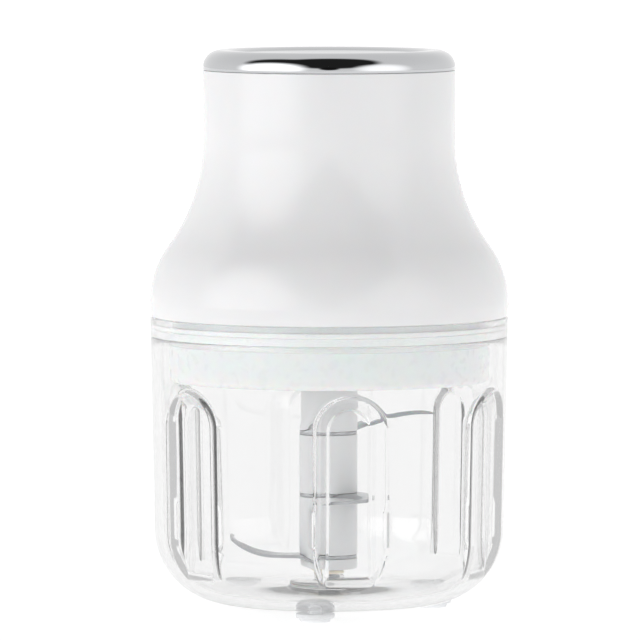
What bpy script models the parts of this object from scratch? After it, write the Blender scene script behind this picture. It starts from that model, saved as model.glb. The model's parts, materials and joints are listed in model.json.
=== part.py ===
"""Cordless mini food chopper: a clear bowl, an inner lid, a stack of three blades on a hexagonal
shaft, and a motor head with a planetary gearbox, a battery and a press button on top.

The object stands on its three feet. The origin is on the floor at the bowl's axis, +Z is up, and the
charging port faces +Y. All sizes are in metres, written as millimetres times MM.
"""

import math

import bmesh
import bpy
from mathutils import Matrix, Vector

MM = 0.001

# Fits. GAP is the air between two pieces that touch; RUN is a running clearance on a radius.
GAP = 0.3 * MM
RUN = 0.2 * MM
# How far a cutter reaches past the face that it cuts, and how far the long ones do
OVER = 1.0 * MM
FAR_OVER = 5.0 * MM
# Sides of a full turn, by the size of the piece, and steps of the arcs in the sections
BIG_STEPS = 36
MIDDLE_STEPS = 24
SMALL_STEPS = 16
TINY_STEPS = 12
CORNER_STEPS = 5
CROWN_STEPS = 8
SHOULDER_STEPS = 4
PORT_CORNER_STEPS = 3
HEM_STEPS = 2
MERGE = 0.00001

# Feet
FOOT_HEIGHT = 2.2 * MM
FOOT_FLANGE_R = 4.7 * MM
FOOT_PAD_R = 3.7 * MM
FOOT_PAD_HEIGHT = 1.0 * MM
FOOT_STUD_R = 1.6 * MM
FOOT_STUD_LENGTH = 1.3 * MM
FOOT_CIRCLE_R = 26.9 * MM
FOOT_AZIMUTHS = (-97.2, 22.8, 142.8)

# Bowl
BOWL_RIM_R = 42.9 * MM
BOWL_FOOT_R = 42.0 * MM
BOWL_CORNER_R = 18.0 * MM
BOWL_HEIGHT = 64.2 * MM
BOWL_WALL = 2.3 * MM
BOSS_R = 9.6 * MM
BOSS_RISE = 1.8 * MM
POST_R = 3.6 * MM
POST_RISE = 4.5 * MM
PIN_R = 1.7 * MM
PIN_SOCKET_DEPTH = 4.0 * MM
PIN_STAND = 15.0 * MM
PIN_NOSE = 0.5 * MM

# The arch pockets pressed into the bowl's wall
RIB_COUNT = 6
RIB_FIRST_AZIMUTH = -83.0
RIB_DEPTH = 3.3 * MM
RIB_WIDTH = 16.5 * MM
RIB_FLOOR_WIDTH = 10.8 * MM
RIB_WALL = 2.0 * MM
RIB_FOOT_RISE = 5.4 * MM
RIB_CLEAR = 1.6 * MM

# Inner lid and its seals
LID_WALL = 1.8 * MM
LID_CLEAR = 2.1 * MM
LID_DEPTH = 10.6 * MM
LID_RISE = 4.5 * MM
LID_BEAD = 1.2 * MM
LID_EDGE_R = 1.4 * MM
SEAL_HEIGHT = 4.2 * MM
SEAL_LIP = 2.0 * MM
SEAL_LIP_AIR = 0.5 * MM
COLLAR_RISE = 3.4 * MM
COLLAR_WALL = 1.6 * MM
COLLAR_SEAL_WALL = 1.6 * MM
COLLAR_SEAL_FLANGE = 1.0 * MM

# Blade stack
HUB_R = 6.8 * MM
HUB_END_HEIGHT = 2.4 * MM
HUB_SPACER_HEIGHT = 13.5 * MM
HUB_TOP_BELOW_RIM = 4.9 * MM
HUB_SHAFT_ACROSS = 8.0 * MM
HUB_SHAFT_IN_SOCKET = 6.0 * MM
WASHER_HEIGHT = 0.8 * MM
BUSH_WALL = 0.8 * MM
BUSH_HEIGHT = 7.0 * MM
BLADE_THICKNESS = 0.8 * MM
BLADE_REACH = 28.5 * MM
BLADE_ROOT_WIDTH = 10.0 * MM
BLADE_TIP_WIDTH = 0.6 * MM
BLADE_SWEEP = -55.0
BLADE_RING_R = 6.4 * MM
BLADE_FLAT = 1.0 * MM
# Each blade's name, the azimuth of its tip, and how far the tip rises
BLADES = (("blade_bottom", 145.0, 3.8 * MM), ("blade_middle", 265.0, 0.0), ("blade_top", 25.0, 3.8 * MM))

# Head housing
HEAD_NECK_R = 30.3 * MM
HEAD_BELLY_R = 43.1 * MM
HEAD_HEM_R = 42.8 * MM
HEAD_BELLY_RISE = 2.8 * MM
HEAD_BELLY_CURVE = 24.0 * MM
HEAD_FLARE_RISE = 39.0 * MM
HEAD_NECK_HEIGHT = 17.0 * MM
HEAD_WALL = 2.2 * MM
LEDGE_WIDTH = 1.3 * MM
LEDGE_HEIGHT = 2.0 * MM
BOARD_BELOW_NECK_TOP = 17.0 * MM
BOARD_AIR = 0.5 * MM

# Head base
BASE_FLANGE = 2.6 * MM
BASE_WALL = 2.0 * MM
SPIGOT_CLEAR = 0.8 * MM
SPIGOT_DEPTH = 8.5 * MM
SPIGOT_SEAL_HEIGHT = 1.6 * MM
SPIGOT_SEAL_STAND = 0.5 * MM
SPIGOT_GROOVE = 1.0 * MM
NEST_HEIGHT = 4.0 * MM
SHAFT_SEAL_WALL = 1.6 * MM
BASE_SCREW_ROOM = 2.2 * MM
BASE_SCREW_R = 1.0 * MM
BASE_SCREW_HEAD_R = 1.8 * MM
BASE_SCREW_HEAD_HEIGHT = 1.1 * MM
BASE_SCREW_LENGTH = 8.0 * MM
BASE_SCREW_POINT = 1.0 * MM
SCREW_BOSS_R = 2.4 * MM
SCREW_BOSS_HEIGHT = 8.6 * MM
SCREW_AZIMUTHS = (90.0, 210.0, 330.0)

# Interlock
INTERLOCK_AZIMUTH = 30.0
INTERLOCK_PIN_R = 1.2 * MM
INTERLOCK_FLANGE_R = 2.2 * MM
INTERLOCK_FLANGE_HEIGHT = 1.0 * MM
INTERLOCK_TRAVEL = 2.0 * MM
SWITCH_SIZE = (4.0 * MM, 8.0 * MM, 5.5 * MM)

# Planetary gearbox
GEAR_MODULE = 0.6 * MM
SUN_TEETH = 12
PLANET_TEETH = 18
RING_TEETH = SUN_TEETH + 2 * PLANET_TEETH
PLANET_AZIMUTHS = (90.0, 210.0, 330.0)
GEAR_FACE = 4.6 * MM
GEAR_BACKLASH = 0.1 * MM
ADDENDUM = 0.8
DEDENDUM = 1.1
RING_RIM = 2.1 * MM
CASE_WALL = 1.5 * MM
CARRIER_THICKNESS = 1.3 * MM
CARRIER_R = 12.6 * MM
PLANET_PIN_R = 1.2 * MM
COUPLER_JOURNAL_R = 4.3 * MM
COUPLER_BOSS_R = 2.9 * MM
COUPLER_REACH = 11.0 * MM
OUTPUT_BUSH_WALL = 1.2 * MM

# Motor
MOTOR_R = 14.0 * MM
MOTOR_LENGTH = 31.0 * MM
MOTOR_WALL = 1.0 * MM
MOTOR_PLATE = 1.5 * MM
MOTOR_CAP = 2.5 * MM
MOTOR_SHAFT_R = 1.15 * MM
MOTOR_BOSS_R = 3.4 * MM
MOTOR_SCREW_R = 1.2 * MM
MOTOR_SCREW_HEAD_R = 2.1 * MM
MOTOR_SCREW_HEAD_HEIGHT = 0.9 * MM
MOTOR_SCREW_LENGTH = 3.6 * MM
MOTOR_SCREW_OFFSET = 8.0 * MM
MAGNET_THICKNESS = 1.4 * MM
MAGNET_SPREAD = 130.0
ARMATURE_AIR = 0.5 * MM
ARMATURE_LENGTH = 21.0 * MM
ARMATURE_START = 4.5 * MM
COMMUTATOR_R = 4.0 * MM
COMMUTATOR_LENGTH = 3.0 * MM

# Battery and board
CELL_WIDTH = 28.0 * MM
CELL_THICKNESS = 7.4 * MM
CELL_HEIGHT = 26.0 * MM
CELL_EDGE_R = 1.2 * MM
CELL_START = 1.0 * MM
BRACKET_WALL = 1.4 * MM
BRACKET_HEIGHT = 14.0 * MM
BRACKET_START = 7.0 * MM
BRACKET_GRIP = 6.0 * MM
BOARD_THICKNESS = 1.6 * MM
USB_SIZE = (9.0 * MM, 7.4 * MM, 3.3 * MM)
USB_MOUTH = (8.2 * MM, 2.5 * MM)
USB_DEPTH = 6.0 * MM
USB_STAND = 0.2 * MM
PORT_WINDOW_ROOM = 1.0 * MM
PORT_SIZE = (9.2 * MM, 3.4 * MM)
PORT_RECESS = (14.0 * MM, 6.8 * MM)
PORT_RECESS_DEPTH = 1.4 * MM
PORT_PLUG_STEM = 2.1 * MM
PORT_PLUG_JOIN = 0.6 * MM
PORT_EDGE_R = 1.6 * MM

# Button and trim ring
TRIM_HEIGHT = 4.8 * MM
TRIM_SHOULDER_R = 4.2 * MM
TRIM_CREST_R = 25.4 * MM
TRIM_INNER_DROP = 0.8 * MM
TRIM_SPIGOT_WALL = 1.5 * MM
TRIM_LIP_RISE = 0.6 * MM
BUTTON_R = 22.2 * MM
BUTTON_EDGE_DROP = 0.7 * MM
BUTTON_DISH = 1.2 * MM
BUTTON_WALL = 1.6 * MM
BUTTON_LIP = 1.3 * MM
BUTTON_LIP_HEIGHT = 1.2 * MM
BUTTON_STEM_R = 3.1 * MM
BUTTON_TRAVEL = 1.5 * MM
BUTTON_FILLET = 0.6 * MM
GUIDE_WALL = 1.5 * MM
GUIDE_HEIGHT = 7.9 * MM
SWITCH_BODY = (7.0 * MM, 7.0 * MM, 4.5 * MM)
PLUNGER_R = 1.5 * MM
PLUNGER_SOCKET_DEPTH = 3.4 * MM
SPRING_R = 6.0 * MM
SPRING_WIRE_R = 0.4 * MM
SPRING_TURNS = 5
SPRING_POINTS_A_TURN = 8

# Heights that follow, from the floor up
BOWL_BOTTOM = FOOT_HEIGHT
BOWL_FLOOR = BOWL_BOTTOM + BOWL_WALL
BOWL_TOP = BOWL_BOTTOM + BOWL_HEIGHT
CORNER_Z = BOWL_BOTTOM + BOWL_CORNER_R
CORNER_CENTRE_R = BOWL_FOOT_R - BOWL_CORNER_R
POST_TOP = BOWL_FLOOR + POST_RISE
WASHER_BOTTOM = POST_TOP + GAP
HUB_BOTTOM = WASHER_BOTTOM + WASHER_HEIGHT + GAP
BLADE_SEATS_HEIGHT = len(BLADES) * (BLADE_THICKNESS + 2 * GAP)
HUB_SOCKET_BOTTOM = HUB_BOTTOM + HUB_END_HEIGHT + 2 * HUB_SPACER_HEIGHT + BLADE_SEATS_HEIGHT
HUB_TOP = BOWL_TOP - HUB_TOP_BELOW_RIM
HUB_SOCKET_HEIGHT = HUB_TOP - HUB_SOCKET_BOTTOM
SEAL_BOTTOM = BOWL_TOP + GAP
SEAL_TOP = SEAL_BOTTOM + SEAL_HEIGHT
LID_TOP = BOWL_TOP + LID_RISE
LID_BOTTOM = BOWL_TOP - LID_DEPTH
LID_R = BOWL_RIM_R - BOWL_WALL - LID_CLEAR
LID_FLOOR = LID_BOTTOM + LID_WALL
RIB_CROWN_Z = LID_BOTTOM - RIB_CLEAR
LID_HOLE_R = HUB_R + RUN + COLLAR_SEAL_WALL + GAP
HEAD_BOTTOM = max(SEAL_TOP, LID_TOP) + GAP
BELLY_Z = HEAD_BOTTOM + HEAD_BELLY_RISE
NECK_Z = BELLY_Z + HEAD_FLARE_RISE
HEAD_TOP = NECK_Z + HEAD_NECK_HEIGHT
FLARE_DROP = HEAD_BELLY_R - HEAD_NECK_R
FLARE_ANGLE = 2 * math.atan2(FLARE_DROP, HEAD_FLARE_RISE)
NECK_CURVE = HEAD_FLARE_RISE / math.sin(FLARE_ANGLE) - HEAD_BELLY_CURVE
NECK_INNER_R = HEAD_NECK_R - HEAD_WALL
BASE_BOTTOM = HEAD_BOTTOM + GAP
BASE_TOP = BASE_BOTTOM + BASE_FLANGE
BASE_FLANGE_R = HEAD_HEM_R - HEAD_WALL - GAP
SPIGOT_R = LID_R - LID_WALL - SPIGOT_CLEAR
SPIGOT_BOTTOM = BASE_BOTTOM - SPIGOT_DEPTH
SPIGOT_FLOOR = SPIGOT_BOTTOM + BASE_WALL
SCREW_CIRCLE_R = BASE_FLANGE_R - BASE_SCREW_ROOM
SHAFT_SEAL_R = COUPLER_JOURNAL_R + RUN + SHAFT_SEAL_WALL
INTERLOCK_R = LID_R - LID_WALL / 2
OUTPUT_BUSH_R = COUPLER_JOURNAL_R + RUN + OUTPUT_BUSH_WALL
CASE_BOTTOM = SPIGOT_FLOOR + GAP
CASE_FLOOR = CASE_BOTTOM + CASE_WALL
CARRIER_BOTTOM = CASE_FLOOR + GAP
CARRIER_TOP = CARRIER_BOTTOM + CARRIER_THICKNESS
GEAR_BOTTOM = CARRIER_TOP + GAP
GEAR_TOP = GEAR_BOTTOM + GEAR_FACE
PLANET_ORBIT_R = GEAR_MODULE * (SUN_TEETH + PLANET_TEETH) / 2
RING_R = GEAR_MODULE * (RING_TEETH / 2 + DEDENDUM) + RING_RIM
CASE_R = RING_R + GAP + CASE_WALL
CASE_TOP = GEAR_TOP + 2 * GAP + MOTOR_SCREW_HEAD_HEIGHT + GAP
PLATE_BOTTOM = CASE_TOP + GAP
PLATE_TOP = PLATE_BOTTOM + MOTOR_PLATE
MOTOR_BOTTOM = PLATE_TOP + GAP
MOTOR_TOP = MOTOR_BOTTOM + MOTOR_LENGTH
CAP_BOTTOM = MOTOR_TOP + GAP
CAP_TOP = CAP_BOTTOM + MOTOR_CAP
BOARD_BOTTOM = HEAD_TOP - BOARD_BELOW_NECK_TOP
BOARD_TOP = BOARD_BOTTOM + BOARD_THICKNESS
BOARD_R = NECK_INNER_R - BOARD_AIR
LEDGE_TOP = BOARD_BOTTOM - GAP
LEDGE_BOTTOM = LEDGE_TOP - LEDGE_HEIGHT
LEDGE_R = NECK_INNER_R - LEDGE_WIDTH
GUIDE_R = NECK_INNER_R - GAP
GUIDE_BOTTOM = BOARD_TOP + GAP
GUIDE_TOP = GUIDE_BOTTOM + GUIDE_HEIGHT
TRIM_BOTTOM = HEAD_TOP + GAP
TRIM_TOP = TRIM_BOTTOM + TRIM_HEIGHT
TRIM_LIP_Z = TRIM_BOTTOM + TRIM_LIP_RISE
TRIM_BORE_R = BUTTON_R + 2 * RUN
BUTTON_EDGE_Z = TRIM_TOP - BUTTON_EDGE_DROP
BUTTON_LIP_TOP = TRIM_LIP_Z - GAP
BUTTON_LIP_BOTTOM = BUTTON_LIP_TOP - BUTTON_LIP_HEIGHT
BUTTON_UNDER_Z = BUTTON_EDGE_Z - BUTTON_DISH - BUTTON_WALL
SWITCH_TOP = GUIDE_BOTTOM + SWITCH_BODY[2]
PLUNGER_BOTTOM = SWITCH_TOP - PLUNGER_SOCKET_DEPTH + BUTTON_TRAVEL + GAP
STEM_BOTTOM = GUIDE_TOP - GUIDE_WALL + GAP
PORT_Z = GUIDE_BOTTOM + USB_SIZE[2] / 2
PORT_FLOOR_Y = HEAD_NECK_R - PORT_RECESS_DEPTH

MATERIALS = {
    "clear_plastic": ((0.93, 0.94, 0.95), 0.05, 0.0, 0.25),
    "milky_silicone": ((0.85, 0.86, 0.87), 0.35, 0.0, 0.7),
    "white_gloss": ((0.91, 0.91, 0.92), 0.12, 0.0, 1.0),
    "milky_lid": ((0.90, 0.90, 0.91), 0.25, 0.0, 1.0),
    "white_hub": ((0.82, 0.83, 0.84), 0.3, 0.0, 1.0),
    "chrome_plate": ((0.80, 0.80, 0.82), 0.04, 1.0, 1.0),
    "blade_steel": ((0.72, 0.72, 0.73), 0.2, 1.0, 1.0),
    "plain_steel": ((0.60, 0.60, 0.62), 0.3, 1.0, 1.0),
    "brass": ((0.75, 0.60, 0.32), 0.3, 1.0, 1.0),
    "gear_nylon": ((0.86, 0.85, 0.80), 0.4, 0.0, 1.0),
    "black_plastic": ((0.03, 0.03, 0.03), 0.4, 0.0, 1.0),
    "magnet_ferrite": ((0.12, 0.12, 0.13), 0.6, 0.0, 1.0),
    "copper_winding": ((0.72, 0.40, 0.24), 0.35, 1.0, 1.0),
    "cell_wrap": ((0.35, 0.42, 0.50), 0.4, 0.0, 1.0),
    "green_board": ((0.05, 0.28, 0.14), 0.4, 0.0, 1.0),
}


def clear_scene():
    for obj in list(bpy.data.objects):
        bpy.data.objects.remove(obj)


def new_collection(name):
    collection = bpy.data.collections.new(name)
    bpy.context.scene.collection.children.link(collection)
    return collection


def material(name):
    """The Principled material of this name, made on first use."""
    if name in bpy.data.materials:
        return bpy.data.materials[name]
    color, roughness, metallic, alpha = MATERIALS[name]
    made = bpy.data.materials.new(name)
    made.use_nodes = True
    shader = made.node_tree.nodes["Principled BSDF"]
    shader.inputs["Base Color"].default_value = (*color, 1.0)
    shader.inputs["Roughness"].default_value = roughness
    shader.inputs["Metallic"].default_value = metallic
    shader.inputs["Alpha"].default_value = alpha
    return made


def place(obj, finish, smooth=True):
    """Links the object among the parts, or among the cutters when it has no finish."""
    if finish is None:
        CUTTERS.objects.link(obj)
        obj.hide_render = True
        obj.display_type = "WIRE"
        return obj
    PARTS.objects.link(obj)
    obj.data.materials.append(material(finish))
    if smooth and obj.type == "MESH":
        obj.data.shade_smooth()
        obj.data.set_sharp_from_angle(angle=math.radians(35))
    return obj


def turned(name, profile, finish, steps=SMALL_STEPS, at=(0, 0, 0)):
    """A turned piece. The profile of (radius, height) points runs down the outer side; it is a closed
    section, unless it starts and ends on the axis."""
    mesh = bpy.data.meshes.new(name)
    verts = [(radius, 0, height) for radius, height in profile]
    edges = [(i, i + 1) for i in range(len(profile) - 1)]
    if profile[0][0] > 0 or profile[-1][0] > 0:
        edges.append((len(profile) - 1, 0))
    mesh.from_pydata(verts, edges, [])
    obj = bpy.data.objects.new(name, mesh)
    obj.location = at
    screw = obj.modifiers.new("Turn", "SCREW")
    screw.axis = "Z"
    screw.steps = steps
    screw.render_steps = steps
    screw.use_merge_vertices = True
    screw.merge_threshold = MERGE
    screw.use_smooth_shade = True
    return place(obj, finish)


def ring(name, inner, outer, bottom, top, finish, steps=SMALL_STEPS, at=(0, 0, 0)):
    profile = [(outer, top), (outer, bottom), (inner, bottom), (inner, top)]
    return turned(name, profile, finish, steps, at)


def rod(name, radius, bottom, top, finish, steps=SMALL_STEPS, at=(0, 0, 0), nose=0.0):
    """A round rod. A nose rounds off its top edge with one flat."""
    profile = [(0, top), (radius - nose, top)]
    if nose:
        profile.append((radius, top - nose))
    profile += [(radius, bottom), (0, bottom)]
    return turned(name, profile, finish, steps, at)


def plate(name, outline, holes, bottom, top, finish, at=(0, 0, 0), turn=0.0):
    """A flat outline with holes, as a filled curve, made a mesh and welded."""
    curve = bpy.data.curves.new(name, "CURVE")
    curve.dimensions = "2D"
    curve.fill_mode = "BOTH"
    curve.extrude = (top - bottom) / 2
    for loop in [outline, *holes]:
        spline = curve.splines.new("POLY")
        spline.points.add(len(loop) - 1)
        spline.use_cyclic_u = True
        for point, (x, y) in zip(spline.points, loop):
            point.co = (x, y, 0, 1)
    guide = bpy.data.objects.new(name + "_outline", curve)
    CUTTERS.objects.link(guide)
    guide.location = (0, 0, (top + bottom) / 2)
    bpy.context.view_layer.update()
    graph = bpy.context.evaluated_depsgraph_get()
    mesh = bpy.data.meshes.new_from_object(guide.evaluated_get(graph))
    mesh.transform(guide.matrix_world)
    bpy.data.objects.remove(guide)
    weld(mesh)
    mesh.name = name
    obj = bpy.data.objects.new(name, mesh)
    obj.location = at
    obj.rotation_euler = (0, 0, math.radians(turn))
    return place(obj, finish)


def weld(mesh):
    work = bmesh.new()
    work.from_mesh(mesh)
    bmesh.ops.remove_doubles(work, verts=work.verts, dist=MERGE)
    bmesh.ops.recalc_face_normals(work, faces=work.faces)
    work.to_mesh(mesh)
    work.free()


def box(name, low, high, finish, edge=0.0, at=(0, 0, 0), turn=0.0):
    """A block between two corners, with rounded edges where an edge radius is given."""
    work = bmesh.new()
    size = Vector(high) - Vector(low)
    middle = (Vector(high) + Vector(low)) / 2
    matrix = Matrix.Translation(middle) @ Matrix.Diagonal((*size, 1))
    bmesh.ops.create_cube(work, size=1, matrix=matrix)
    mesh = bpy.data.meshes.new(name)
    work.to_mesh(mesh)
    work.free()
    obj = bpy.data.objects.new(name, mesh)
    obj.location = at
    obj.rotation_euler = (0, 0, math.radians(turn))
    if edge:
        bevel = obj.modifiers.new("Edges", "BEVEL")
        bevel.width = edge
        bevel.segments = 2
    return place(obj, finish)


def cut(obj, cutter, operation="DIFFERENCE"):
    modifier = obj.modifiers.new(cutter.name, "BOOLEAN")
    modifier.operation = operation
    modifier.solver = "EXACT"
    modifier.object = cutter
    return obj


def around(radius, azimuth, height=0.0):
    angle = math.radians(azimuth)
    return (radius * math.cos(angle), radius * math.sin(angle), height)


def circle(radius, steps=MIDDLE_STEPS, centre=(0, 0)):
    points = []
    for i in range(steps):
        angle = 2 * math.pi * i / steps
        points.append((centre[0] + radius * math.cos(angle), centre[1] + radius * math.sin(angle)))
    return points


def hexagon(across):
    corner = across / math.sqrt(3)
    return circle(corner, 6)


def arc(centre, radius, start, end, steps):
    """Points of an arc in the (radius, height) plane, angles in degrees from +X."""
    points = []
    for i in range(steps + 1):
        angle = math.radians(start + (end - start) * i / steps)
        points.append((centre[0] + radius * math.cos(angle), centre[1] + radius * math.sin(angle)))
    return points


# ---------------------------------------------------------------- bowl

def bowl_outer(inset=0.0, steps=CORNER_STEPS):
    """Outer half section of the bowl, rim to axis, moved in by an inset."""
    corner = arc((CORNER_CENTRE_R, CORNER_Z), BOWL_CORNER_R - inset, 0, -90, steps)
    return [(BOWL_RIM_R - inset, BOWL_TOP), *corner]


def arch(half_width, foot, crown_z, steps=CROWN_STEPS):
    """An arch outline of (across, height) points: straight legs and a round crown."""
    crown = arc((0, crown_z - half_width), half_width, 0, 180, steps)
    return [(half_width, foot), *crown, (-half_width, foot)]


def arch_wedge(name, azimuth, widen, shift):
    """A wedge with an arch section. It narrows through the depth of a pocket, then runs straight on
    towards the axis. widen grows the arch all round, and shift moves the wedge towards the axis."""
    slope = (RIB_WIDTH - RIB_FLOOR_WIDTH) / 2 / RIB_DEPTH
    floor_reach = BOWL_FOOT_R - RIB_DEPTH
    foot = BOWL_BOTTOM + RIB_FOOT_RISE - widen
    work = bmesh.new()
    loops = []
    for reach in (BOWL_RIM_R + 2 * OVER, floor_reach, CORNER_CENTRE_R):
        outward = max(0.0, reach - floor_reach) * slope
        half = RIB_FLOOR_WIDTH / 2 + outward + widen
        crown = RIB_CROWN_Z - RIB_DEPTH * slope + outward + widen
        row = [work.verts.new((reach - shift, x, z)) for x, z in arch(half, foot, crown)]
        loops.append(row)
    ends = (work.faces.new(loops[0]), work.faces.new(loops[-1]))
    middle = [work.edges.new((loops[1][i - 1], loops[1][i])) for i in range(len(loops[1]))]
    for end in ends:
        bmesh.ops.bridge_loops(work, edges=[*end.edges, *middle])
    bmesh.ops.recalc_face_normals(work, faces=work.faces)
    mesh = bpy.data.meshes.new(name)
    work.to_mesh(mesh)
    work.free()
    obj = bpy.data.objects.new(name, mesh)
    obj.rotation_euler = (0, 0, math.radians(azimuth))
    return place(obj, None)


def make_bowl():
    bowl = turned("bowl", [(0, BOWL_TOP), *bowl_outer(), (0, BOWL_BOTTOM)], "clear_plastic", BIG_STEPS)
    cavity_side = bowl_outer(BOWL_WALL)
    cavity_side[0] = (cavity_side[0][0], BOWL_TOP + GAP)
    boss_top = BOWL_FLOOR + BOSS_RISE
    socket_bottom = POST_TOP - PIN_SOCKET_DEPTH
    centre = [
        (BOSS_R, BOWL_FLOOR),
        (BOSS_R, boss_top),
        (POST_R, boss_top),
        (POST_R, POST_TOP),
        (PIN_R + GAP, POST_TOP),
        (PIN_R + GAP, socket_bottom),
        (0, socket_bottom),
    ]
    cavity = turned("bowl_cavity", [(0, BOWL_TOP + GAP), *cavity_side, *centre], None, BIG_STEPS)
    core = core_of("bowl_core", RIB_DEPTH)
    inner_core = core_of("bowl_inner_core", RIB_DEPTH + BOWL_WALL)
    for i in range(RIB_COUNT):
        azimuth = RIB_FIRST_AZIMUTH + 360 / RIB_COUNT * i
        bump = arch_wedge(f"rib_bump_{i + 1}", azimuth, RIB_WALL, BOWL_WALL)
        cut(cavity, cut(bump, inner_core))
    cut(bowl, cavity)
    for i in range(RIB_COUNT):
        azimuth = RIB_FIRST_AZIMUTH + 360 / RIB_COUNT * i
        pocket = arch_wedge(f"rib_pocket_{i + 1}", azimuth, 0, 0)
        cut(bowl, cut(pocket, core))
    for i, azimuth in enumerate(FOOT_AZIMUTHS):
        socket_top = BOWL_BOTTOM + FOOT_STUD_LENGTH
        at = around(FOOT_CIRCLE_R, azimuth)
        socket = rod(f"foot_socket_{i + 1}", FOOT_STUD_R + GAP, 0, socket_top, None, TINY_STEPS, at)
        cut(bowl, socket)


def core_of(name, inset):
    """The solid inside the bowl's wall that the pockets stop at. It reaches above and below the bowl."""
    side = bowl_outer(inset)
    top = BOWL_TOP + FAR_OVER
    side[0] = (side[0][0], top)
    return turned(name, [(0, top), *side, (0, side[-1][1])], None, BIG_STEPS)


def make_bowl_fittings():
    pin_bottom = POST_TOP - PIN_SOCKET_DEPTH + GAP
    rod("bowl_pin", PIN_R, pin_bottom, POST_TOP + PIN_STAND, "plain_steel", nose=PIN_NOSE)
    top = BOWL_BOTTOM - GAP
    profile = [
        (0, top + FOOT_STUD_LENGTH),
        (FOOT_STUD_R, top + FOOT_STUD_LENGTH),
        (FOOT_STUD_R, top),
        (FOOT_FLANGE_R, top),
        (FOOT_FLANGE_R, FOOT_PAD_HEIGHT),
        (FOOT_PAD_R, FOOT_PAD_HEIGHT),
        (FOOT_PAD_R, 0),
        (0, 0),
    ]
    for i, azimuth in enumerate(FOOT_AZIMUTHS):
        turned(f"foot_{i + 1}", profile, "milky_silicone", SMALL_STEPS, around(FOOT_CIRCLE_R, azimuth))
    ring("thrust_washer", PIN_R + RUN, POST_R, WASHER_BOTTOM, HUB_BOTTOM - GAP, "gear_nylon")


# ---------------------------------------------------------------- blade stack

def blade_outline(tip_azimuth):
    """A sickle: a ring round the shaft, and one arm that sweeps back and narrows to a point."""
    steps = 9
    start = math.asin(BLADE_ROOT_WIDTH / 2 / BLADE_RING_R)
    root = BLADE_RING_R * math.cos(start)
    front = []
    back = []
    for i in range(steps + 1):
        t = i / steps
        reach = root + (BLADE_REACH - root) * t
        angle = math.radians(BLADE_SWEEP) * t * t
        half = BLADE_ROOT_WIDTH / 2 * (1 - t) ** 0.75 + BLADE_TIP_WIDTH / 2
        along = Vector((math.cos(angle), math.sin(angle)))
        side = Vector((-along.y, along.x))
        front.append(along * reach - side * half)
        back.append(along * reach + side * half)
    round_steps = 16
    round_part = []
    for i in range(1, round_steps):
        angle = start + (2 * math.pi - 2 * start) * i / round_steps
        round_part.append(Vector((BLADE_RING_R * math.cos(angle), BLADE_RING_R * math.sin(angle))))
    turn = Matrix.Rotation(math.radians(tip_azimuth - BLADE_SWEEP), 2)
    return [tuple(turn @ point) for point in front + back[::-1] + round_part]


def make_blade(name, tip_azimuth, rise, bottom):
    """A flat sickle whose arm then rises in a smooth curve towards its tip."""
    hole = hexagon(HUB_SHAFT_ACROSS + 2 * GAP)
    outline = blade_outline(tip_azimuth)
    blade = plate(name, outline, [hole], bottom, bottom + BLADE_THICKNESS, "blade_steel")
    if rise:
        bend_up(blade.data, Vector(around(1.0, tip_azimuth)), HUB_R + BLADE_FLAT, rise)


def bend_up(mesh, outward, start, rise):
    """Raises the mesh in an S curve, from a line at start to the blade's tip."""
    steps = 5
    work = bmesh.new()
    work.from_mesh(mesh)
    for i in range(steps):
        line = outward * (start + (BLADE_REACH - start) * i / steps)
        whole = [*work.verts, *work.edges, *work.faces]
        bmesh.ops.bisect_plane(work, geom=whole, dist=MERGE / 10, plane_co=line, plane_no=outward)
    for vertex in work.verts:
        t = max(0.0, (vertex.co.dot(outward) - start) / (BLADE_REACH - start))
        vertex.co.z += rise * t * t * (3 - 2 * t)
    work.to_mesh(mesh)
    work.free()


def make_blade_stack():
    hole = hexagon(HUB_SHAFT_ACROSS + 2 * GAP)
    sleeves = (
        ("hub_end", HUB_END_HEIGHT),
        ("hub_spacer_lower", HUB_SPACER_HEIGHT),
        ("hub_spacer_upper", HUB_SPACER_HEIGHT),
        ("hub_socket", HUB_SOCKET_HEIGHT),
    )
    bottom = HUB_BOTTOM
    for i, (name, height) in enumerate(sleeves):
        plate(name, circle(HUB_R), [hole], bottom, bottom + height, "white_hub")
        bottom += height + GAP
        if i < len(BLADES):
            make_blade(*BLADES[i], bottom)
            bottom += BLADE_THICKNESS + GAP
    bore_r = PIN_R + RUN + BUSH_WALL + GAP
    shaft_top = HUB_SOCKET_BOTTOM + HUB_SHAFT_IN_SOCKET
    shaft = plate("hub_shaft", hexagon(HUB_SHAFT_ACROSS), [], HUB_BOTTOM, shaft_top, "gear_nylon")
    pin_top = POST_TOP + PIN_STAND
    bore = rod("hub_bore", bore_r, HUB_BOTTOM - OVER, pin_top + OVER, None)
    cut(shaft, bore)
    bush_top = HUB_BOTTOM + BUSH_HEIGHT
    ring("hub_bush", PIN_R + RUN, bore_r - GAP, HUB_BOTTOM, bush_top, "brass")


# ---------------------------------------------------------------- lid

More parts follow.
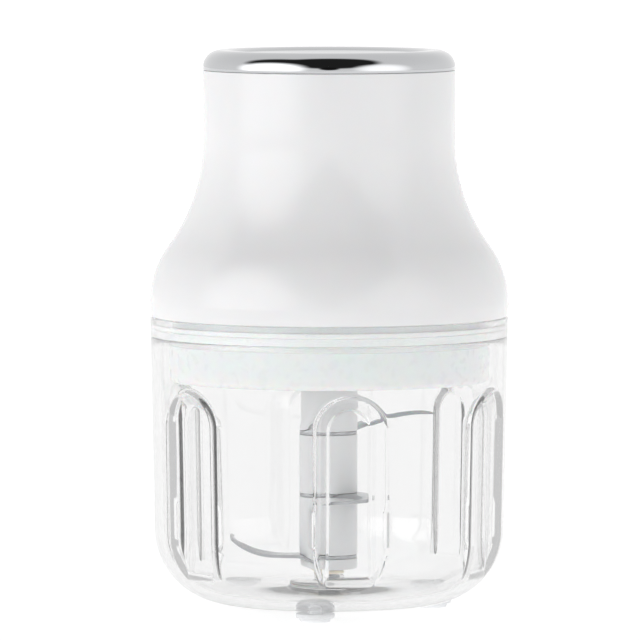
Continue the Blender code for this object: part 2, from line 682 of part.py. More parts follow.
def make_lid():
    bead_bottom = SEAL_BOTTOM + SEAL_HEIGHT / 2 - LID_BEAD / 2
    bead_top = bead_bottom + LID_BEAD
    bead_r = LID_R + LID_BEAD
    hem = arc((LID_R - LID_EDGE_R, LID_BOTTOM + LID_EDGE_R), LID_EDGE_R, 0, -90, HEM_STEPS)
    collar_r = LID_HOLE_R + COLLAR_WALL
    collar_top = LID_FLOOR + COLLAR_RISE
    profile = [
        (LID_R, LID_TOP),
        (LID_R, bead_top),
        (bead_r, bead_top),
        (bead_r, bead_bottom),
        (LID_R, bead_bottom),
        *hem,
        (LID_HOLE_R, LID_BOTTOM),
        (LID_HOLE_R, collar_top),
        (collar_r, collar_top),
        (collar_r, LID_FLOOR),
        (LID_R - LID_WALL, LID_FLOOR),
        (LID_R - LID_WALL, LID_TOP),
    ]
    turned("lid", profile, "milky_lid", BIG_STEPS)
    bore = LID_R + GAP
    groove = bead_r + GAP
    lip_r = BOWL_RIM_R - BOWL_WALL - SEAL_LIP_AIR
    seal = [
        (BOWL_RIM_R, SEAL_TOP),
        (BOWL_RIM_R, SEAL_BOTTOM),
        (lip_r, SEAL_BOTTOM),
        (lip_r, SEAL_BOTTOM - SEAL_LIP),
        (bore, SEAL_BOTTOM - SEAL_LIP),
        (bore, bead_bottom - GAP),
        (groove, bead_bottom - GAP),
        (groove, bead_top + GAP),
        (bore, bead_top + GAP),
        (bore, SEAL_TOP),
    ]
    turned("lid_seal", seal, "milky_silicone", BIG_STEPS)
    flange_bottom = collar_top + GAP
    flange_top = flange_bottom + COLLAR_SEAL_FLANGE
    collar_seal = [
        (collar_r, flange_top),
        (collar_r, flange_bottom),
        (LID_HOLE_R - GAP, flange_bottom),
        (LID_HOLE_R - GAP, LID_BOTTOM),
        (HUB_R + RUN, LID_BOTTOM),
        (HUB_R + RUN, flange_top),
    ]
    turned("collar_seal", collar_seal, "milky_silicone")


# ---------------------------------------------------------------- head shell

def flare(inset, steps=SHOULDER_STEPS):
    """The bell curve of the head, neck to belly, moved in by an inset: a hollow arc and a round one
    that meet tangent."""
    turn = math.degrees(FLARE_ANGLE)
    neck_centre = (HEAD_NECK_R + NECK_CURVE, NECK_Z)
    belly_centre = (HEAD_BELLY_R - HEAD_BELLY_CURVE, BELLY_Z)
    hollow = arc(neck_centre, NECK_CURVE + inset, 180, 180 + turn, steps)
    full = arc(belly_centre, HEAD_BELLY_CURVE - inset, turn, 0, steps)
    return hollow + full[1:]


def neck_inner_r(height):
    """The inner radius of the head's hollow arc at a height on it."""
    below = NECK_Z - height
    return HEAD_NECK_R + NECK_CURVE - math.sqrt((NECK_CURVE + HEAD_WALL) ** 2 - below**2)


def make_head_housing():
    outer = [(HEAD_NECK_R, HEAD_TOP), *flare(0), (HEAD_HEM_R, HEAD_BOTTOM)]
    inner = [
        (NECK_INNER_R, HEAD_TOP),
        (NECK_INNER_R, LEDGE_TOP),
        (LEDGE_R, LEDGE_TOP),
        (LEDGE_R, LEDGE_BOTTOM),
        (neck_inner_r(LEDGE_BOTTOM), LEDGE_BOTTOM),
        *[point for point in flare(HEAD_WALL) if point[1] < LEDGE_BOTTOM - OVER],
        (HEAD_HEM_R - HEAD_WALL, HEAD_BOTTOM),
    ]
    housing = turned("head_housing", outer + inner[::-1], "white_gloss", BIG_STEPS)
    boss_bottom = BASE_TOP + GAP
    boss_top = boss_bottom + SCREW_BOSS_HEIGHT
    for i, azimuth in enumerate(SCREW_AZIMUTHS):
        at = around(SCREW_CIRCLE_R, azimuth)
        boss = rod(f"screw_boss_{i + 1}", SCREW_BOSS_R, boss_bottom, boss_top, None, SMALL_STEPS, at)
        cut(housing, boss, "UNION")
    for i, azimuth in enumerate(SCREW_AZIMUTHS):
        at = around(SCREW_CIRCLE_R, azimuth)
        hole_top = BASE_BOTTOM + GAP + BASE_SCREW_HEAD_HEIGHT + BASE_SCREW_LENGTH
        hole = rod(f"pilot_{i + 1}", BASE_SCREW_R + GAP, BASE_TOP - OVER, hole_top, None, TINY_STEPS, at)
        cut(housing, hole)
    recess = port_block("port_recess", PORT_RECESS, PORT_FLOOR_Y, HEAD_NECK_R + 2 * OVER, None)
    hole = port_block("port_hole", PORT_SIZE, LEDGE_R - 2 * OVER, HEAD_NECK_R, None)
    cut(housing, recess)
    cut(housing, hole)


def port_block(name, size, near, far, finish):
    """A block at the charging port, its corners rounded in the port's own plane."""
    half_x = size[0] / 2
    half_z = size[1] / 2
    edge = min(PORT_EDGE_R, half_z * 0.9)
    outline = []
    for sx, sz, start in ((1, 1, 0), (-1, 1, 90), (-1, -1, 180), (1, -1, 270)):
        centre = (sx * (half_x - edge), sz * (half_z - edge))
        outline += arc(centre, edge, start, start + 90, PORT_CORNER_STEPS)
    block = plate(name, outline, [], 0, far - near, finish)
    turn = Matrix.Rotation(math.radians(90), 4, "X")
    block.data.transform(Matrix.Translation((0, far, 0)) @ turn)
    block.location = (0, 0, PORT_Z)
    return block


def make_port_plug():
    plug_size = (PORT_RECESS[0] - 2 * GAP, PORT_RECESS[1] - 2 * GAP)
    stem_size = (PORT_SIZE[0] - 2 * GAP, PORT_SIZE[1] - 2 * GAP)
    plug_far = HEAD_NECK_R + OVER
    plug = port_block("port_plug", plug_size, PORT_FLOOR_Y + GAP, plug_far, "milky_silicone")
    stem_near = PORT_FLOOR_Y - PORT_PLUG_STEM
    stem = port_block("plug_stem", stem_size, stem_near, PORT_FLOOR_Y + PORT_PLUG_JOIN, None)
    skin = rod("neck_skin", HEAD_NECK_R, BOARD_BOTTOM - FAR_OVER, GUIDE_TOP, None, BIG_STEPS)
    cut(plug, stem, "UNION")
    cut(plug, skin, "INTERSECT")


def make_trim_ring():
    shoulder_centre = (HEAD_NECK_R - TRIM_SHOULDER_R, TRIM_TOP - TRIM_SHOULDER_R)
    shoulder = arc(shoulder_centre, TRIM_SHOULDER_R, 90, 0, SHOULDER_STEPS)
    spigot_r = NECK_INNER_R - GAP
    spigot_inner = spigot_r - TRIM_SPIGOT_WALL
    spigot_bottom = GUIDE_TOP + GAP
    profile = [
        (TRIM_CREST_R, TRIM_TOP),
        *shoulder,
        (HEAD_NECK_R, TRIM_BOTTOM),
        (spigot_r, TRIM_BOTTOM),
        (spigot_r, spigot_bottom),
        (spigot_inner, spigot_bottom),
        (spigot_inner, TRIM_LIP_Z),
        (TRIM_BORE_R, TRIM_LIP_Z),
        (TRIM_BORE_R, TRIM_TOP - TRIM_INNER_DROP),
    ]
    turned("trim_ring", profile, "chrome_plate", BIG_STEPS)


def make_button():
    """A dished cap with a skirt, a lip that the trim ring holds down, and a stem to the switch."""
    dish_r = BUTTON_R - BUTTON_FILLET
    dish = []
    dish_steps = 3
    for i in range(dish_steps + 1):
        radius = dish_r * i / dish_steps
        dish.append((radius, BUTTON_EDGE_Z - BUTTON_DISH * (1 - (radius / dish_r) ** 2)))
    lip_r = BUTTON_R + BUTTON_LIP
    skirt_inner = BUTTON_R - BUTTON_WALL
    profile = [
        *dish,
        (BUTTON_R, BUTTON_EDGE_Z - BUTTON_FILLET),
        (BUTTON_R, BUTTON_LIP_TOP),
        (lip_r, BUTTON_LIP_TOP),
        (lip_r, BUTTON_LIP_BOTTOM),
        (skirt_inner, BUTTON_LIP_BOTTOM),
        (skirt_inner, BUTTON_UNDER_Z),
        (BUTTON_STEM_R, BUTTON_UNDER_Z),
        (BUTTON_STEM_R, STEM_BOTTOM),
        (0, STEM_BOTTOM),
    ]
    turned("top_button", profile, "chrome_plate", BIG_STEPS)
    rod("switch_plunger", PLUNGER_R, PLUNGER_BOTTOM, STEM_BOTTOM - GAP, "black_plastic")


def make_button_fittings():
    guide_inner = GUIDE_R - GUIDE_WALL
    ceiling = GUIDE_TOP - GUIDE_WALL
    profile = [
        (GUIDE_R, GUIDE_TOP),
        (GUIDE_R, GUIDE_BOTTOM),
        (guide_inner, GUIDE_BOTTOM),
        (guide_inner, ceiling),
        (BUTTON_STEM_R + GAP, ceiling),
        (BUTTON_STEM_R + GAP, GUIDE_TOP),
    ]
    guide = turned("button_guide", profile, "black_plastic", BIG_STEPS)
    width = PORT_SIZE[0] / 2 + PORT_WINDOW_ROOM
    window_top = PORT_Z + PORT_SIZE[1] / 2 + PORT_PLUG_JOIN
    low = (-width, guide_inner - 3 * OVER, GUIDE_BOTTOM - OVER)
    window = box("guide_window", low, (width, HEAD_NECK_R, window_top), None)
    cut(guide, window)
    half = SWITCH_BODY[0] / 2
    switch = box("button_switch", (-half, -half, GUIDE_BOTTOM), (half, half, SWITCH_TOP), "black_plastic")
    socket_bottom = SWITCH_TOP - PLUNGER_SOCKET_DEPTH
    socket = rod("plunger_socket", PLUNGER_R + GAP, socket_bottom, SWITCH_TOP + OVER, None)
    cut(switch, socket)
    make_spring("button_spring", GUIDE_TOP + GAP, BUTTON_UNDER_Z - GAP)


def make_spring(name, bottom, top):
    curve = bpy.data.curves.new(name, "CURVE")
    curve.dimensions = "3D"
    curve.bevel_depth = SPRING_WIRE_R
    curve.bevel_resolution = 2
    curve.use_fill_caps = True
    count = SPRING_TURNS * SPRING_POINTS_A_TURN
    spline = curve.splines.new("POLY")
    spline.points.add(count)
    low = bottom + SPRING_WIRE_R
    rise = top - bottom - 2 * SPRING_WIRE_R
    for i, point in enumerate(spline.points):
        angle = 2 * math.pi * i / SPRING_POINTS_A_TURN
        height = low + rise * i / count
        point.co = (SPRING_R * math.cos(angle), SPRING_R * math.sin(angle), height, 1)
    return place(bpy.data.objects.new(name, curve), "plain_steel")


# ---------------------------------------------------------------- head base and interlock

def make_head_base():
    seal_z = (SPIGOT_BOTTOM + BASE_BOTTOM) / 2
    groove_r = SPIGOT_R - SPIGOT_GROOVE
    half = SPIGOT_SEAL_HEIGHT / 2 + GAP
    hole_r = SHAFT_SEAL_R + GAP
    nest_inner = CASE_R + GAP
    nest_top = SPIGOT_FLOOR + NEST_HEIGHT
    wall_inner = SPIGOT_R - BASE_WALL
    profile = [
        (BASE_FLANGE_R, BASE_TOP),
        (BASE_FLANGE_R, BASE_BOTTOM),
        (SPIGOT_R, BASE_BOTTOM),
        (SPIGOT_R, seal_z + half),
        (groove_r, seal_z + half),
        (groove_r, seal_z - half),
        (SPIGOT_R, seal_z - half),
        (SPIGOT_R, SPIGOT_BOTTOM),
        (hole_r, SPIGOT_BOTTOM),
        (hole_r, SPIGOT_FLOOR),
        (nest_inner, SPIGOT_FLOOR),
        (nest_inner, nest_top),
        (nest_inner + CASE_WALL, nest_top),
        (nest_inner + CASE_WALL, SPIGOT_FLOOR),
        (wall_inner, SPIGOT_FLOOR),
        (wall_inner, BASE_TOP),
    ]
    base = turned("head_base", profile, "white_gloss", BIG_STEPS)
    for i, azimuth in enumerate(SCREW_AZIMUTHS):
        at = around(SCREW_CIRCLE_R, azimuth)
        hole_top = BASE_TOP + OVER
        screw_hole_r = BASE_SCREW_R + GAP
        hole = rod(f"base_hole_{i + 1}", screw_hole_r, SPIGOT_BOTTOM, hole_top, None, TINY_STEPS, at)
        sink_top = BASE_BOTTOM + BASE_SCREW_HEAD_HEIGHT + 2 * GAP
        sink_r = BASE_SCREW_HEAD_R + GAP
        sink = rod(f"base_sink_{i + 1}", sink_r, BASE_BOTTOM - OVER, sink_top, None, TINY_STEPS, at)
        cut(base, hole)
        cut(base, sink)
        make_base_screw(i, at)
    pin_at = around(INTERLOCK_R, INTERLOCK_AZIMUTH)
    hole_r = INTERLOCK_PIN_R + RUN
    pin_hole = rod("interlock_hole", hole_r, BASE_BOTTOM - OVER, BASE_TOP + OVER, None, at=pin_at)
    cut(base, pin_hole)
    seal_half = SPIGOT_SEAL_HEIGHT / 2
    seal_r = SPIGOT_R + SPIGOT_SEAL_STAND
    seal_inner = groove_r + GAP
    seal_ends = (seal_z - seal_half, seal_z + seal_half)
    ring("spigot_seal", seal_inner, seal_r, *seal_ends, "milky_silicone", BIG_STEPS)
    ring("shaft_seal", COUPLER_JOURNAL_R + RUN, SHAFT_SEAL_R, SPIGOT_BOTTOM, SPIGOT_FLOOR, "black_plastic")


def make_base_screw(index, at):
    head_bottom = BASE_BOTTOM + GAP
    head_top = head_bottom + BASE_SCREW_HEAD_HEIGHT
    top = head_top + BASE_SCREW_LENGTH - 2 * GAP
    profile = [
        (0, top),
        (BASE_SCREW_R * 0.4, top),
        (BASE_SCREW_R, top - BASE_SCREW_POINT),
        (BASE_SCREW_R, head_top),
        (BASE_SCREW_HEAD_R, head_top),
        (BASE_SCREW_HEAD_R, head_bottom),
        (0, head_bottom),
    ]
    turned(f"base_screw_{index + 1}", profile, "plain_steel", TINY_STEPS, at)


def make_interlock():
    at = around(INTERLOCK_R, INTERLOCK_AZIMUTH)
    bottom = LID_TOP + GAP
    flange_bottom = BASE_TOP + GAP + INTERLOCK_TRAVEL
    flange_top = flange_bottom + INTERLOCK_FLANGE_HEIGHT
    profile = [
        (0, flange_top),
        (INTERLOCK_FLANGE_R, flange_top),
        (INTERLOCK_FLANGE_R, flange_bottom),
        (INTERLOCK_PIN_R, flange_bottom),
        (INTERLOCK_PIN_R, bottom),
        (0, bottom),
    ]
    turned("interlock_pin", profile, "black_plastic", SMALL_STEPS, at)
    depth, width, height = SWITCH_SIZE
    low = (INTERLOCK_R - depth, -width / 2, flange_top + GAP)
    high = (INTERLOCK_R, width / 2, flange_top + GAP + height)
    box("interlock_switch", low, high, "black_plastic", turn=INTERLOCK_AZIMUTH)


# ---------------------------------------------------------------- gearbox

def teeth_outline(teeth, outward, tooth_at):
    """A gear's outline with flat-sided teeth. outward is 1 for a gear and -1 for an internal ring;
    tooth_at is the angle in degrees of one tooth's middle."""
    pitch_r = GEAR_MODULE * teeth / 2
    tip_r = pitch_r + outward * ADDENDUM * GEAR_MODULE
    root_r = pitch_r - outward * DEDENDUM * GEAR_MODULE
    half = (math.pi * GEAR_MODULE / 4 - GEAR_BACKLASH) / pitch_r
    tip_half = half * 0.5
    root_half = half * 1.45
    points = []
    for i in range(teeth):
        middle = math.radians(tooth_at) + 2 * math.pi * i / teeth
        corners = ((root_r, -root_half), (tip_r, -tip_half), (tip_r, tip_half), (root_r, root_half))
        for radius, offset in corners:
            angle = middle + offset
            points.append((radius * math.cos(angle), radius * math.sin(angle)))
    return points


def make_gearbox():
    ledge_r = GEAR_MODULE * (RING_TEETH / 2 + DEDENDUM) + RING_RIM / 2
    hole_r = OUTPUT_BUSH_R + GAP
    profile = [
        (CASE_R, CASE_TOP),
        (CASE_R, CASE_BOTTOM),
        (hole_r, CASE_BOTTOM),
        (hole_r, CASE_FLOOR),
        (ledge_r, CASE_FLOOR),
        (ledge_r, GEAR_BOTTOM - GAP),
        (CASE_R - CASE_WALL, GEAR_BOTTOM - GAP),
        (CASE_R - CASE_WALL, CASE_TOP),
    ]
    turned("gearbox_case", profile, "black_plastic", MIDDLE_STEPS)
    bush_inner = COUPLER_JOURNAL_R + RUN
    ring("output_bush", bush_inner, OUTPUT_BUSH_R, CASE_BOTTOM, CASE_FLOOR, "brass")
    half_pitch = 180 / RING_TEETH
    inside = teeth_outline(RING_TEETH, -1, PLANET_AZIMUTHS[0] + half_pitch)
    plate("ring_gear", circle(RING_R), [inside], GEAR_BOTTOM, GEAR_TOP, "gear_nylon")
    sun = teeth_outline(SUN_TEETH, 1, PLANET_AZIMUTHS[0] + 180 / SUN_TEETH)
    sun_hole = circle(MOTOR_SHAFT_R + GAP, TINY_STEPS)
    plate("sun_gear", sun, [sun_hole], GEAR_BOTTOM, GEAR_TOP, "brass")
    for i, azimuth in enumerate(PLANET_AZIMUTHS):
        outline = teeth_outline(PLANET_TEETH, 1, azimuth)
        at = around(PLANET_ORBIT_R, azimuth)
        hole = circle(PLANET_PIN_R + RUN, TINY_STEPS)
        plate(f"planet_{i + 1}", outline, [hole], GEAR_BOTTOM, GEAR_TOP, "gear_nylon", at)
        pin_top = GEAR_TOP + GAP
        rod(f"planet_pin_{i + 1}", PLANET_PIN_R, CARRIER_BOTTOM, pin_top, "plain_steel", TINY_STEPS, at)
    pin_hole_r = PLANET_PIN_R + GAP
    centres = [around(PLANET_ORBIT_R, azimuth) for azimuth in PLANET_AZIMUTHS]
    pin_holes = [circle(pin_hole_r, TINY_STEPS, centre) for centre in centres]
    holes = [circle(COUPLER_BOSS_R + GAP, SMALL_STEPS), *pin_holes]
    outline = circle(CARRIER_R)
    plate("planet_carrier", outline, holes, CARRIER_BOTTOM, CARRIER_TOP, "plain_steel")


def make_coupler():
    """The output shaft: a hexagonal drive that fills the hub's socket, a journal and a boss."""
    hex_bottom = HUB_TOP - COUPLER_REACH
    hex_top = SPIGOT_BOTTOM - GAP
    journal_bottom = (HUB_TOP + hex_top) / 2
    drive = plate("drive_coupler", hexagon(HUB_SHAFT_ACROSS), [], hex_bottom, hex_top, "white_hub")
    profile = [
        (0, CARRIER_TOP),
        (COUPLER_BOSS_R, CARRIER_TOP),
        (COUPLER_BOSS_R, CARRIER_BOTTOM - GAP),
        (COUPLER_JOURNAL_R, CARRIER_BOTTOM - GAP),
        (COUPLER_JOURNAL_R, journal_bottom),
        (0, journal_bottom),
    ]
    journal = turned("coupler_journal", profile, None)
    cut(drive, journal, "UNION")


# ---------------------------------------------------------------- motor

def make_motor():
    screws = [(sign * MOTOR_SCREW_OFFSET, 0) for sign in (-1, 1)]
    plate_holes = [circle(MOTOR_BOSS_R, SMALL_STEPS)]
    plate_holes += [circle(MOTOR_SCREW_R + GAP, TINY_STEPS, centre) for centre in screws]
    plate("motor_plate", circle(CASE_R), plate_holes, PLATE_BOTTOM, PLATE_TOP, "plain_steel")
    can_floor = MOTOR_BOTTOM + MOTOR_WALL
    profile = [
        (MOTOR_R, MOTOR_TOP),
        (MOTOR_R, MOTOR_BOTTOM),
        (MOTOR_SHAFT_R + GAP, MOTOR_BOTTOM),
        (MOTOR_SHAFT_R + GAP, can_floor),
        (MOTOR_R - MOTOR_WALL, can_floor),
        (MOTOR_R - MOTOR_WALL, MOTOR_TOP),
    ]
    can = turned("motor_can", profile, "plain_steel", MIDDLE_STEPS)
    for i, (x, y) in enumerate(screws):
        at = (x, y, 0)
        hole_r = MOTOR_SCREW_R + GAP
        hole_top = can_floor + OVER
        hole = rod(f"can_hole_{i + 1}", hole_r, MOTOR_BOTTOM - OVER, hole_top, None, TINY_STEPS, at)
        cut(can, hole)
        make_motor_screw(i, at)
    ring("motor_end_cap", MOTOR_SHAFT_R + GAP, MOTOR_R, CAP_BOTTOM, CAP_TOP, "black_plastic", MIDDLE_STEPS)
    make_rotor(can_floor)


def make_motor_screw(index, at):
    head_top = CASE_TOP
    head_bottom = head_top - MOTOR_SCREW_HEAD_HEIGHT
    profile = [
        (0, head_top + MOTOR_SCREW_LENGTH),
        (MOTOR_SCREW_R, head_top + MOTOR_SCREW_LENGTH),
        (MOTOR_SCREW_R, head_top),
        (MOTOR_SCREW_HEAD_R, head_top),
        (MOTOR_SCREW_HEAD_R, head_bottom),
        (0, head_bottom),
    ]
    turned(f"motor_screw_{index + 1}", profile, "plain_steel", TINY_STEPS, at)


def make_rotor(can_floor):
    bottom = can_floor + ARMATURE_START
    top = bottom + ARMATURE_LENGTH
    magnet_outer = MOTOR_R - MOTOR_WALL - GAP
    magnet_inner = magnet_outer - MAGNET_THICKNESS
    for name, middle in (("magnet_left", 180), ("magnet_right", 0)):
        start = middle - MAGNET_SPREAD / 2
        end = middle + MAGNET_SPREAD / 2
        outline = arc((0, 0), magnet_outer, start, end, TINY_STEPS)
        outline += arc((0, 0), magnet_inner, end, start, TINY_STEPS)
        plate(name, outline, [], bottom, top, "magnet_ferrite")
    armature_r = magnet_inner - ARMATURE_AIR
    profile = [
        (COMMUTATOR_R, top + COMMUTATOR_LENGTH),
        (COMMUTATOR_R, top),
        (armature_r, top),
        (armature_r, bottom),
        (MOTOR_SHAFT_R + GAP, bottom),
        (MOTOR_SHAFT_R + GAP, top + COMMUTATOR_LENGTH),
    ]
    turned("armature", profile, "copper_winding", MIDDLE_STEPS)
    rod("motor_shaft", MOTOR_SHAFT_R, GEAR_BOTTOM, CAP_TOP - 2 * GAP, "plain_steel", TINY_STEPS)


# ---------------------------------------------------------------- battery and board

def make_battery():
    near = MOTOR_R + GAP + BRACKET_WALL + GAP
    half = CELL_WIDTH / 2
    bottom = MOTOR_BOTTOM + CELL_START
    low = (-half, near, bottom)
    high = (half, near + CELL_THICKNESS, bottom + CELL_HEIGHT)
    box("battery_cell", low, high, "cell_wrap", CELL_EDGE_R)
    ring_r = MOTOR_R + GAP
    arm_in = half + GAP
    arm_out = arm_in + BRACKET_WALL
    back = ring_r + BRACKET_WALL
    tip = back + BRACKET_GRIP
    belly = arc((0, 0), arm_out, 180, 360, SMALL_STEPS)
    right_arm = [(arm_out, tip), (arm_in, tip), (arm_in, back)]
    left_arm = [(-arm_in, back), (-arm_in, tip), (-arm_out, tip)]
    bracket_bottom = MOTOR_BOTTOM + BRACKET_START
    bracket_top = bracket_bottom + BRACKET_HEIGHT
    hole = circle(ring_r)
    outline = right_arm + left_arm + belly
    plate("battery_bracket", outline, [hole], bracket_bottom, bracket_top, "black_plastic")


def make_board():
    outline = circle(BOARD_R, BIG_STEPS)
    plate("control_board", outline, [], BOARD_BOTTOM, BOARD_TOP, "green_board")
    width, depth, height = USB_SIZE
    front = GUIDE_R - GUIDE_WALL + USB_STAND
    low = (-width / 2, front - depth, GUIDE_BOTTOM)
    socket = box("usb_socket", low, (width / 2, front, GUIDE_BOTTOM + height), "plain_steel")
    mouth_x, mouth_z = USB_MOUTH
    mouth_low = (-mouth_x / 2, front - USB_DEPTH, PORT_Z - mouth_z / 2)
    mouth = box("usb_mouth", mouth_low, (mouth_x / 2, front + OVER, PORT_Z + mouth_z / 2), None)
    cut(socket, mouth)


clear_scene()
PARTS = new_collection("mini_food_chopper")
CUTTERS = new_collection("cutters")
CUTTERS.hide_render = True

make_bowl()
make_bowl_fittings()
make_blade_stack()
make_lid()
make_head_housing()
make_port_plug()
make_trim_ring()
make_button()
make_button_fittings()
make_head_base()
make_interlock()
make_gearbox()
make_coupler()
make_motor()
make_battery()
make_board()
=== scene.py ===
"""Cordless mini food chopper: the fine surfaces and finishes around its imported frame.

Sizes are in metres. The bowl stands on its feet at the origin, +Z is up and the charging port faces +Y.
"""

import json
import math

import bmesh
import bpy
from bpy.props import FloatProperty, FloatVectorProperty, IntProperty, PointerProperty
from mathutils import Matrix, Vector


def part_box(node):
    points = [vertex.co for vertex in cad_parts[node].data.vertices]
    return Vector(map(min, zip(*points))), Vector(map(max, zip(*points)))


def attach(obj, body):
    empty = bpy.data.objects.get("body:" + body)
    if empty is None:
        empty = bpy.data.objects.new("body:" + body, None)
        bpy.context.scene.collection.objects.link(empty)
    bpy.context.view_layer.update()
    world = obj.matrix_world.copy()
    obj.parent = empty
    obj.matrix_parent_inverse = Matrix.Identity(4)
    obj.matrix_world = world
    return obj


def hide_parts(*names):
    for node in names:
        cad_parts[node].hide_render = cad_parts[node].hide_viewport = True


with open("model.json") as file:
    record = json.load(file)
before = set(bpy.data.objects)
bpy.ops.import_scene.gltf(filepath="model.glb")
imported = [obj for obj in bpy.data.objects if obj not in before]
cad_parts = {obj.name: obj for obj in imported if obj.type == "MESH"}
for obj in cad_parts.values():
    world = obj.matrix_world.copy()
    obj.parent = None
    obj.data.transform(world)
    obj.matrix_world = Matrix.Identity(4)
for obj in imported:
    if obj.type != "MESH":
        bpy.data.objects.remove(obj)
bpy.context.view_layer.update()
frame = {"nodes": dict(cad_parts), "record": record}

bl_info = {
    "name": "Mini Food Chopper",
    "version": (1, 0, 0),
    "blender": (4, 5, 0),
    "location": "View3D > Sidebar > Chopper",
    "description": "Builds the fine surfaces of a cordless mini food chopper around its frame",
    "category": "Add Mesh",
}

MM = 0.001
# Air that the frame leaves between two pieces that touch, and the hairline that is left of it here
GAP = 0.3 * MM
SEAM = 0.05 * MM
MERGE = 0.000001
SMOOTH_ANGLE = math.radians(38)
FINE_TURN = 180
SMALL_TURN = 64
RING_TURN = 96
SCREW_TURN = 48
HOLE_TURN = 32
CORNER_STEPS = 5
# Roundings, from a trimmed hairline to a fillet between wall and floor
HAIR_EDGE = 0.1 * MM
SLIGHT_EDGE = 0.15 * MM
FINE_EDGE = 0.2 * MM
SMALL_EDGE = 0.3 * MM
ROUND_EDGE = 0.35 * MM
SOFT_EDGE = 0.4 * MM
FILLET = 0.5 * MM
DEEP_FILLET = 0.6 * MM
# How far a cutter reaches past the face that it cuts
OVER = 1.0 * MM


# ---------------------------------------------------------------- settings

def length(name, description, millimetres):
    return FloatProperty(
        name=name,
        description=description,
        default=millimetres * MM,
        min=0.0,
        precision=5,
        subtype="DISTANCE",
        unit="LENGTH",
    )


def linear(code):
    """An sRGB hex colour as linear red, green and blue."""
    shares = [int(code[i : i + 2], 16) / 255 for i in (1, 3, 5)]
    return tuple(s / 12.92 if s <= 0.04045 else ((s + 0.055) / 1.055) ** 2.4 for s in shares)


def colour(name, description, code):
    return FloatVectorProperty(
        name=name, description=description, default=linear(code), min=0.0, max=1.0, size=3, subtype="COLOR"
    )


class BowlSettings(bpy.types.PropertyGroup):
    wall: length("Wall", "Thickness of the bowl's wall", 2.3)
    corner: length("Corner", "Radius of the round corner between side and bottom", 18.0)
    foot_r: length("Foot radius", "Outer radius where the side meets the corner", 42.0)
    rim_round: length("Rim rounding", "Rounding of the rim's two edges", 0.5)
    boss_r: length("Boss radius", "Radius of the low boss in the middle of the floor", 9.6)
    boss_rise: length("Boss rise", "Height of the low boss", 1.8)
    post_r: length("Post radius", "Radius of the post that holds the pin", 3.6)
    post_rise: length("Post rise", "Height of the post above the floor", 4.5)
    rib_count: IntProperty(
        name="Pockets", description="Number of arch pockets round the wall", default=6, min=1
    )
    rib_first: FloatProperty(
        name="First pocket",
        description="Azimuth of the front pocket",
        default=math.radians(-83),
        subtype="ANGLE",
    )
    rib_width: length("Pocket width", "Width of a pocket at the outer face", 16.5)
    rib_floor_width: length("Pocket floor width", "Width of a pocket at its floor", 10.8)
    rib_depth: length("Pocket depth", "Depth of a pocket", 3.3)
    rib_wall: length("Pocket wall", "Thickness of the wall behind a pocket", 2.0)
    rib_crown: length("Pocket crown", "Distance from the bowl's rim down to a pocket's crown", 12.2)
    rib_soft: length("Pocket rounding", "Half width of the rounding along a pocket's edges", 0.45)
    tint: colour("Plastic", "Tint of the clear plastic", "#F6F6F6")


class BladeSettings(bpy.types.PropertyGroup):
    thickness: length("Thickness", "Thickness of a blade's sheet", 0.8)
    reach: length("Reach", "Distance from the axis to a blade's tip", 28.5)
    root_width: length("Root width", "Width of a blade at the hub", 10.0)
    tip_width: length("Tip width", "Width of a blade's blunt tip", 0.6)
    sweep: FloatProperty(
        name="Sweep", description="Angle that a blade sweeps back", default=math.radians(-55), subtype="ANGLE"
    )
    grind: length("Ground edge", "Width of the ground face along the cutting edge", 1.7)
    rise: length("Rise", "How far the tips of the upper and the lower blade rise", 3.8)
    steel: colour("Steel", "Colour of the blade steel", "#B4B6B8")
    hub: colour("Hub", "Colour of the moulded hub", "#DCDDDE")


class LidSettings(bpy.types.PropertyGroup):
    wall: length("Wall", "Thickness of the inner lid", 1.8)
    hem: length("Hem", "Rounding where the skirt meets the lid's floor", 1.4)
    hole_r: length("Hole", "Radius of the hole that the hub passes", 8.9)
    collar_rise: length("Collar", "Height of the collar round the hole", 3.4)
    plastic: colour("Lid", "Colour of the milky lid", "#F8F8F8")
    silicone: colour("Seal", "Colour of the clear silicone ring", "#FBFBFB")


class HeadSettings(bpy.types.PropertyGroup):
    wall: length("Wall", "Thickness of the housing", 2.2)
    belly_rise: length("Belly rise", "Height of the widest ring above the hem", 2.8)
    belly_curve: length("Belly curve", "Radius of the round arc above the belly", 24.0)
    hem_r: length("Hem radius", "Radius of the housing's lower edge", 42.8)
    flare_rise: length("Flare", "Height of the bell curve", 39.0)
    port_width: length("Port width", "Width of the charging port's recess", 14.0)
    port_height: length("Port height", "Height of the charging port's recess", 6.8)
    plastic: colour("Housing", "Colour of the gloss housing", "#E9E9EA")


class TopSettings(bpy.types.PropertyGroup):
    shoulder: length("Shoulder", "Rounding of the trim ring's shoulder", 4.2)
    crest_r: length("Crest", "Radius of the trim ring's highest circle", 25.4)
    inner_drop: length("Inner drop", "How far the trim ring falls from its crest to its bore", 0.8)
    dish: length("Dish", "Depth of the dish in the button", 1.2)
    plate: colour("Chrome", "Colour of the bright plate", "#CBCCCE")


class StageSettings(bpy.types.PropertyGroup):
    distance: length("Camera distance", "Distance from the camera to the point that it looks at", 2000.0)
    aim_height: length("Aim height", "Height of the point that the camera looks at", 70.2)
    aim_side: length("Aim side", "How far left of the axis the camera looks", 2.2)
    pitch: FloatProperty(
        name="Pitch", description="How far the camera looks down", default=math.radians(3.6), subtype="ANGLE"
    )
    frame_width: length("View width", "Width of the view at the point that the camera looks at", 153.7)
    floor: colour("Floor", "Colour of the floor", "#DEDEDE")
    floor_glow: FloatProperty(
        name="Floor glow", description="Brightness of the floor's own light", default=0.52
    )


# ---------------------------------------------------------------- materials

